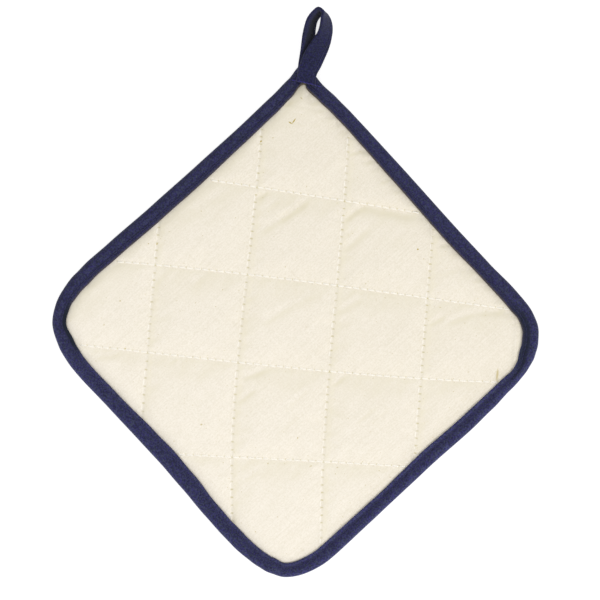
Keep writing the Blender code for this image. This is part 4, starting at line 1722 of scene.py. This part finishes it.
    def gathers(self, lie: Lie) -> Array:
        """Shape the small folds that the binding draws the cloth into, mostly on the upper right side.

        Args:
            lie: how the pad lies.

        Returns:
            The relief at each point.
        """
        turn = np.mod(lie.turn, float(len(Side)))
        upper_right = smoothstep((turn - self.gathered_from) * self.gathered_rate)
        elsewhere, there = self.gathered_shares
        near_tape = bell(lie.inside - self.gather_place, self.gather_reach)
        return (self.gather * self.folds.over(lie.turn * self.edge.side, lie.inside)
                * (elsewhere + there * upper_right) * near_tape)

    def build(self, finish: Material) -> Piece:
        """Build the pad and keep the faces' points for the stitches.

        Args:
            finish: the calico.

        Returns:
            The pad.
        """
        coarse = self.quilting.plan(*self.grid_shares(1))
        lie = self.lie(coarse)
        face = np.concatenate([coarse, lie.top[..., None]], axis=-1)
        face = self.settle(face, lie)
        top = refine(face)
        plan = self.quilting.plan(*self.grid_shares(self.finer))
        lie = self.lie(plan)
        shown = smoothstep(lie.inside / self.shown_over + 0.5)
        seams = self.needlework(plan)
        relief = seams + self.creases(plan, CREASE_ROWS)
        relief += self.unrest * self.waves.over(plan[..., 0], plan[..., 1])
        relief += self.gathers(lie)
        top[..., 2] += relief * shown
        level = np.maximum(lie.bottom - seams * self.back_share * shown, 0.0)
        self.top_grid = top
        self.bottom_grid = np.concatenate([plan, level[..., None]], axis=-1)
        self.inside_grid = lie.inside
        piece = self.close(lie, finish)
        self.shade(piece)
        return piece

    def shade(self, piece: Piece) -> None:
        """Mark how far each point of the face turns away from the light: its slope to the upper left.

        The calico paints a warm shade by this mark.

        Args:
            piece: the pad.
        """
        slope_x, slope_y = (np.gradient(self.top_grid[..., 2], axis=axis)
                            / np.gradient(self.top_grid[..., axis], axis=axis) for axis in (0, 1))
        right, down = self.away_slopes
        away = np.clip(right * slope_x - down * slope_y, 0.0, 1.0).ravel()[self.used]
        values = np.concatenate([away, np.zeros(len(away))])
        made = piece.data.attributes.new(TURNED_AWAY, "FLOAT", "POINT")
        made.data.foreach_set("value", values.astype(np.float32))

    def close(self, lie: Lie, finish: Material) -> Piece:
        """Join the two faces by a wall round the rim.

        Each point's UV place is its share of the quilting's fields each way, so a whole number is a
        sewn line. A cell of the grid with all four corners inside the rim is a quad, and one with three
        is a triangle. The points on the faces' edge are then drawn out to the rim.

        Args:
            lie: how the pad lies.
            finish: the calico.

        Returns:
            The pad.
        """
        inside = lie.within > self.rim_inset + self.rim_margin
        total = inside.size
        cells = cell_corners(np.arange(total).reshape(inside.shape))
        kept = cell_corners(inside)
        quads = cells[kept.sum(axis=-1) == 4]
        partial = kept.sum(axis=-1) == 3
        triangles = cells[partial][kept[partial]].reshape(-1, 3)

        edges = np.concatenate([edges_of(quads), edges_of(triangles)])
        here = edges[:, 0] * total + edges[:, 1]
        there = edges[:, 1] * total + edges[:, 0]
        rim = edges[~np.isin(here, there)]
        on_rim = np.unique(rim)
        drawn_out = self.edge.points(lie.turn.ravel()[on_rim], self.rim_inset, lie.out.ravel()[on_rim])
        self.used = used = np.unique(np.concatenate([quads.ravel(), triangles.ravel()]))
        skins = []
        for grid, level in ((self.top_grid, lie.rim_top), (self.bottom_grid, lie.rim_bottom)):
            points = grid.reshape(-1, 3).copy()
            points[on_rim, :2] = drawn_out
            points[on_rim, 2] = level.ravel()[on_rim]
            skins.append(points[used])

        count = len(used)
        renumber = np.full(total, -1)
        renumber[used] = np.arange(count)
        quads, triangles, wall = renumber[quads], renumber[triangles], renumber[rim]
        walls = np.stack([wall[:, 1], wall[:, 0], wall[:, 0] + count, wall[:, 1] + count], axis=-1)
        shares = np.stack(np.meshgrid(*self.grid_shares(self.finer), indexing="ij"), -1)
        places = np.tile(shares.reshape(-1, 2)[used], (2, 1))
        groups = [Faces(corners, places[corners]) for corners in (
            np.concatenate([quads, quads[:, ::-1] + count, walls]),
            np.concatenate([triangles, triangles[:, ::-1] + count]))]
        return make_piece("calico_pad", np.concatenate(skins), groups, finish, Slot.CALICO)

    def holes_along(self, grid: Array, run: Run, face: Face) -> tuple[Array, Array]:
        """Find the needle holes on every line of a run.

        The thread lies on the side that the cloth rises to, thread_shift of the grid's step away, and
        is sunk in the cloth by thread_sunk.

        Args:
            grid: the face's points, (columns, rows, 3).
            run: the run.
            face: which face it is.

        Returns:
            Where the stitches start, and where they end.
        """
        way = run.value
        rows = np.swapaxes(grid, 0, way)
        lines = (np.arange(len(self.quilting.places(run, 0.0))) * self.cells * self.finer
                 + self.cells_before[way] * self.finer)
        shift = self.thread_shift[way]
        holes = (rows[lines, ::self.holes] * (1.0 - shift)
                 + rows[lines + self.thread_side[way], ::self.holes] * shift)
        holes[..., 2] -= face.value * self.thread_sunk[way]
        shown = np.swapaxes(self.inside_grid, 0, way)[lines, ::self.holes] > self.bare_inside
        sewn = shown[:, :-1] & shown[:, 1:]
        return holes[:, :-1][sewn], holes[:, 1:][sewn]

    def sew(self) -> list[Piece]:
        """Sew the quilting stitches on the face and on the back.

        Returns:
            The two pieces.
        """
        pieces = []
        for name, grid, face in (("face_quilting", self.top_grid, Face.FRONT),
                                 ("back_quilting", self.bottom_grid, Face.BACK)):
            holes = [self.holes_along(grid, run, face) for run in Run]
            starts, ends = (np.concatenate(parts) for parts in zip(*holes))
            pieces.append(QUILTING_STITCH.sew(name, starts, ends, face.out))
        return pieces


# ---- the binding ----

@dataclass
class EdgeBinding:
    """One folded tape: turned in at both edges, folded over the pad's edge and topstitched down."""

    edge: BoundEdge
    section: tuple[SectionRow, ...] = BINDING_SECTION
    cloth: float = 0.50 * MM
    station_pitch: float = 0.96 * MM
    stitch_pitch: float = 2.7 * MM
    stitch_inset: float = 2.4 * MM
    tape_width: float = 34.0 * MM
    fine_turns: int = 12001
    hole_dip: float = 0.10 * MM
    hole_reach: float = 0.9 * MM
    least_dip: float = 0.4
    corner_gather: float = 0.13 * MM
    corner_span: float = 0.11
    sharp_span: float = 0.3
    corner_place: float = 1.0 * MM
    corner_reach: float = 2.6 * MM
    lip_gather: float = 0.045 * MM
    lip_place: float = 1.2 * MM
    lip_reach: float = 1.6 * MM
    folds: Ripple = Ripple(3.2 * MM, 6.5 * MM, 11, 0.4)
    unrest: float = 0.10 * MM
    waves: Ripple = Ripple(14.0 * MM, 45.0 * MM, 12)
    lip_drop: float = 0.05 * MM
    thread_sunk: float = 0.06 * MM
    back_level: float = 0.34 * MM

    def line(self, turn: Array, inset: float, share: float) -> Array:
        """Return the plan line at share of the visible width plus inset."""
        out, width, _, _ = np.moveaxis(self.edge.values(turn), -1, 0)
        return self.edge.points(turn, share * width + inset, out)

    def spaced_turns(self, pitch: float, shares: Sequence[float]) -> tuple[Array, Array]:
        """Space places evenly round the edge.

        The distance is measured along the outer edge, the stitch line or midway between them, by the
        mean of the lines at the given shares.

        Args:
            pitch: the distance wanted from one to the next.
            shares: 0 for the outer edge and 1 for the stitch line.

        Returns:
            The turns and the distance run at each, the first again last.
        """
        fine = np.linspace(0.0, float(len(Side)), self.fine_turns)
        run = np.mean([lengths_along(self.line(fine, -self.stitch_inset * share, share))
                       for share in shares], axis=0)
        wanted = np.linspace(0.0, run[-1], int(round(run[-1] / pitch)) + 1)
        return np.interp(wanted, run, fine), wanted

    def middle_surface(self, turn: Array, run: Array) -> Array:
        """Lay the tape's middle surface.

        Each station is the section's table at that place of the edge, blended smoothly, with the
        sewing's unevenness laid over the face: dips at the needle holes and gathers in the corners.

        Args:
            turn: the stations' turns.
            run: the distance run at each.

        Returns:
            Insets and heights, (stations, places, 2).
        """
        _, width, ditch, height = self.edge.values(turn).T[:, :, None]
        share, inset, level, lift, drawn = np.array([row[1:6] for row in self.section]).T
        insets = share * width + inset * MM
        heights = level * height + lift * MM - drawn * ditch
        weights, line = carried(self.section, np.stack([insets, heights], axis=-1))

        place = weights @ drawn
        shown = smoothstep(weights @ (level == 1.0) * 2 - 1)
        across = line[..., 0] - width + self.stitch_inset
        stitched = wave_of(run, self.stitch_pitch)[:, None]
        corner = bell((np.mod(turn + 0.5, 1.0) - 0.5)[:, None], self.corner_span)
        sides = len(Side)
        rounded = (np.abs(np.mod(turn + sides / 2, sides) - sides / 2) > self.sharp_span)[:, None]
        folds = self.folds.over(run[:, None], across)
        relief = -self.hole_dip * stitched * bell(across, self.hole_reach) * (self.least_dip + place)
        relief += (self.corner_gather * folds * corner * rounded
                   * bell(across - self.corner_place, self.corner_reach))
        relief += self.lip_gather * folds * bell(across - self.lip_place, self.lip_reach)
        relief += self.unrest * self.waves.over(run[:, None], across)
        line[..., 1] += relief * shown
        return line

    def build(self, finish: Material) -> Piece:
        """Build the tape as a thin folded sheet carried round the edge.

        Args:
            finish: the tape's material.

        Returns:
            The tape.
        """
        turns, run = self.spaced_turns(self.station_pitch, (0.0, 1.0))
        turn = turns[:-1]
        rings = thicken(self.middle_surface(turn, run[:-1]), self.cloth)
        plan = self.edge.points(turn[:, None], rings[..., 0], self.edge.values(turn)[:, :1])
        points = np.concatenate([plan, rings[..., 1:]], axis=-1)
        shell = skin_faces(run, lengths_round(rings), len(turn), rings.shape[1])
        return make_piece("binding_tape", points.reshape(-1, 3), [shell], finish, Slot.TAPE)

    def sew(self) -> list[Piece]:
        """Sew the topstitching through the tape, face and back.

        Returns:
            The two pieces.
        """
        turns, _ = self.spaced_turns(self.stitch_pitch, (1.0,))
        _, _, ditch, height = self.edge.values(turns).T
        plan = self.line(turns, -self.stitch_inset, 1.0)
        on_face = height - self.lip_drop - ditch - self.thread_sunk
        on_back = np.full(len(plan), self.back_level)
        pieces = []
        for name, level, face in (("face_topstitching", on_face, Face.FRONT),
                                  ("back_topstitching", on_back, Face.BACK)):
            holes = np.concatenate([plan, level[:, None]], axis=-1)
            pieces.append(TOPSTITCH.sew(name, holes[:-1], holes[1:], face.out))
        return pieces


# ---- the loop ----

@dataclass
class HangingLoop:
    """A strap of the same tape folded in two, its two ends sewn one on the other on the corner."""

    rows: tuple[LoopRow, ...] = LOOP_ROWS
    section: tuple[StrapRow, ...] = STRAP_SECTION
    tack_rows: tuple[TackRow, ...] = TACK_ROWS
    steps: int = 6
    full_thickness: float = 1.7 * MM
    cloth: float = 0.76 * MM
    stitch_pitch: float = 2.7 * MM
    stitch_from_lip: float = 2.0 * MM
    stitch_off: float = 0.80 * MM
    tack_steps: int = 5
    tack_holes: int = 9
    tape_width: float = 22.0 * MM
    bright_rim: float = 0.8 * MM
    inward_from: float = 0.65
    length: float = field(init=False)

    def frames(self) -> tuple[Array, ...]:
        """Carry the strap's table along the loop.

        Returns:
            The strap's middle, half width, thickness share, and its across and facing vectors.
        """
        weights = spline_weights([self.steps] * (len(self.rows) - 1))
        table = weights @ np.array([row[1:] for row in self.rows]) * MM
        upper, lower, thick = table[:, 0:3], table[:, 3:6], table[:, 6]
        level = (upper - lower) * np.array([1.0, 1.0, 0.0])
        inward = unit(level) * (thick / 2)[:, None]
        upper = upper - inward
        lower = lower + inward
        across = unit(upper - lower)
        half = np.linalg.norm(upper - lower, axis=-1) / 2 + thick / 2
        middle = (upper + lower) / 2
        facing = unit(np.cross(np.gradient(middle, axis=0), across))
        return middle, half, thick / self.full_thickness, across, facing

    def sections(self, half: Array) -> Array:
        """Fold the strap at each station.

        Args:
            half: the stations' half widths.

        Returns:
            The outlines across the strap and off its middle plane, (stations, count, 2).
        """
        share, across, off = np.array([row[1:4] for row in self.section]).T
        place = share * half[:, None] + across * MM
        off = np.broadcast_to(off * MM, place.shape)
        return thicken(carried(self.section, np.stack([place, off], axis=-1))[1], self.cloth)

    def build(self, finish: Material) -> Piece:
        """Build the strap as one folded sheet.

        Args:
            finish: the strap's material.

        Returns:
            The strap.
        """
        middle, half, thin, across, facing = self.frames()
        rings = self.sections(half)
        run = lengths_along(middle)
        points = (middle[:, None] + across[:, None] * rings[..., :1]
                  + facing[:, None] * (rings[..., 1:] * thin[:, None, None]))
        rows, columns = rings.shape[:2]
        groups = [skin_faces(run, lengths_round(rings), rows, columns), end_faces(rows, columns)]
        self.length = float(run[-1])
        return make_piece("loop_strap", points.reshape(-1, 3), groups, finish, Slot.TAPE)

    def inner_stretch(self) -> Span:
        """Find the stretch of the section's outline that faces into the loop, below its upper rim.

        Returns:
            Where it starts and ends along the outline.
        """
        # this stretch is where the strap's shade is painted
        outline = self.sections(self.frames()[1]).mean(axis=0)
        around = lengths_along(outline)
        inward = outline[:, 1] > self.inward_from * self.cloth
        return around[inward].min(), around[inward].max() - self.bright_rim

    def tape(self) -> NavyTape:
        """Return the strap's finish: the binding's tape, darker, with painted shade where it faces
        inwards.
        """
        return NavyTape("strap_tape_cloth", dark=(0.0057, 0.0051, 0.0290, 1.0),
                        lit=(0.0190, 0.0168, 0.097, 1.0), grey_dark=(0.0085, 0.0106, 0.026, 1.0),
                        grey_lit=(0.0270, 0.0330, 0.069, 1.0), inner=self.inner_stretch())

    def sew(self) -> Piece:
        """Sew the strap's two folded edges together, with stitches on both its faces.

        Returns:
            The stitches.
        """
        middle, half, thin, across, facing = self.frames()
        run = lengths_along(middle)
        wanted = np.arange(self.stitch_pitch, run[-1] - self.stitch_pitch, self.stitch_pitch)
        parts = []
        for face in Face:
            holes = points_at(wanted, run, middle + across * (self.stitch_from_lip - half)[:, None]
                              + facing * (face.value * self.stitch_off * thin)[:, None])
            parts.append((holes[:-1], holes[1:], points_at(wanted, run, facing * face.value)[:-1]))
        starts, ends, out = (np.concatenate(part) for part in zip(*parts))
        return STRAP_STITCH.sew("loop_stitching", starts, ends, out)

    def tack(self) -> Piece:
        """Sew the row of stitches that holds both ends of the loop on the corner.

        Returns:
            The stitches.
        """
        weights = spline_weights([self.tack_steps] * (len(self.tack_rows) - 1))
        line = weights @ np.array([row[1:] for row in self.tack_rows]) * MM
        run = lengths_along(line[:, :2])
        holes = points_at(np.linspace(0.0, run[-1], self.tack_holes), run, line)
        return TACK_STITCH.sew("loop_tack", holes[:-1], holes[1:], Face.FRONT.out)


# ---- the studio ----

@dataclass(frozen=True)
class Lamp:
    """A soft lamp: where it stands, how wide it is and how strong."""

    name: str
    place: Triple
    width: float
    power: float
    colour: Triple = (1.0, 1.0, 1.0)


@dataclass(frozen=True)
class Studio:
    """A pale floor, soft lamps and a camera that looks straight down."""

    middle: Triple = (1.94 * MM, 17.01 * MM, 3.0 * MM)
    view_width: float = 322.1 * MM
    turn: float = math.radians(2.5)
    lens: float = 150.0
    sensor: float = 36.0
    sight: float = 50.0
    floor_colour: Colour = (0.42, 0.42, 0.42, 1.0)
    floor_size: float = 6.0
    floor_drop: float = 0.1 * MM
    floor_glow: float = 0.73
    floor_roughness: float = 0.9
    floor_grain: float = 900.0
    floor_relief: float = 0.005 * MM
    sky: float = 0.840
    lamps: tuple[Lamp, ...] = (
        Lamp("key", (0.85, -0.60, 0.95), 0.40, 4.8),
        Lamp("fill", (-0.45, -0.45, 1.15), 0.70, 2.8),
    )

    def floor(self) -> None:
        """Lay the floor: a plain sheet of paper with a faint grain."""
        half = self.floor_size / 2
        ways = ((-1, -1), (1, -1), (1, 1), (-1, 1))
        corners = [(x * half, y * half, -self.floor_drop) for x, y in ways]
        mesh = bpy.data.meshes.new("floor")
        mesh.from_pydata(corners, [], [(0, 1, 2, 3)])
        shading = Shading("floor_paper", Specular_IOR_Level=0.1, Emission_Color=WHITE,
                          Emission_Strength=self.floor_glow)
        grain = shading.noise(shading.place(scale=(self.floor_grain,) * 3))
        shading.finish(self.floor_colour, self.floor_roughness, grain * self.floor_relief)
        mesh.materials.append(shading.material)
        item = put("floor", mesh)
        item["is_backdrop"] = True

    def light(self) -> None:
        """Hang the lamps, aimed at the middle, and light the sky."""
        world = bpy.data.worlds.new("studio")
        world.use_nodes = True
        background = world.node_tree.nodes["Background"]
        background.inputs["Color"].default_value = WHITE
        background.inputs["Strength"].default_value = self.sky
        bpy.context.scene.world = world
        for lamp in self.lamps:
            light = bpy.data.lights.new(lamp.name, "AREA")
            light.shape = "DISK"
            light.size = lamp.width
            light.energy = lamp.power
            light.color = lamp.colour
            item = put(lamp.name, light)
            item.location = lamp.place
            aim = np.array(self.middle) - np.array(lamp.place)
            away = math.atan2(math.hypot(aim[0], aim[1]), -aim[2])
            item.rotation_euler = (away, 0.0, math.atan2(aim[1], aim[0]) - QUARTER)

    def camera(self) -> None:
        """Set the camera over the middle, high enough for the view to be as wide as wanted."""
        data = bpy.data.cameras.new("camera")
        data.lens = self.lens
        data.sensor_width = self.sensor
        data.clip_end = self.sight
        item = put("camera", data)
        x, y, z = self.middle
        item.location = (x, y, z + self.view_width * self.lens / self.sensor)
        item.rotation_euler = (0.0, 0.0, self.turn)
        bpy.context.scene.camera = item
        bpy.context.scene.view_settings.view_transform = "Standard"

    def build(self) -> None:
        """Make the floor, the lamps and the camera."""
        self.floor()
        self.light()
        self.camera()


def write_sizes() -> None:
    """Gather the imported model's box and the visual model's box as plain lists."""
    boxes = {"cad": CAD_BOX, "visual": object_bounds()}
    plain = {name: [list(map(float, corner)) for corner in box] for name, box in boxes.items()}


def main() -> None:
    """Build the pot holder piece by piece, then the studio round it."""
    logging.basicConfig(level=logging.INFO, format="%(name)s: %(message)s")
    edge = BoundEdge()
    calico = Calico().material()
    tape = NavyTape(with_painted_light=True).material()

    pad = QuiltedPad(edge, Quilting())
    pad_piece = pad.build(calico)
    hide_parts("quilted_pad")
    pad.sew()

    binding = EdgeBinding(edge)
    tape_piece = binding.build(tape)
    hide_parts("edge_binding")
    stitches = binding.sew()
    _, run = binding.spaced_turns(binding.station_pitch, (0.0, 1.0))
    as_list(stitches)

    loop = HangingLoop()
    strap = loop.build(loop.tape().material())
    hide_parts("hanging_loop")
    loop_stitches = [loop.sew(), loop.tack()]

    Studio().build()
    write_sizes()


if __name__ == "__main__":
    main()
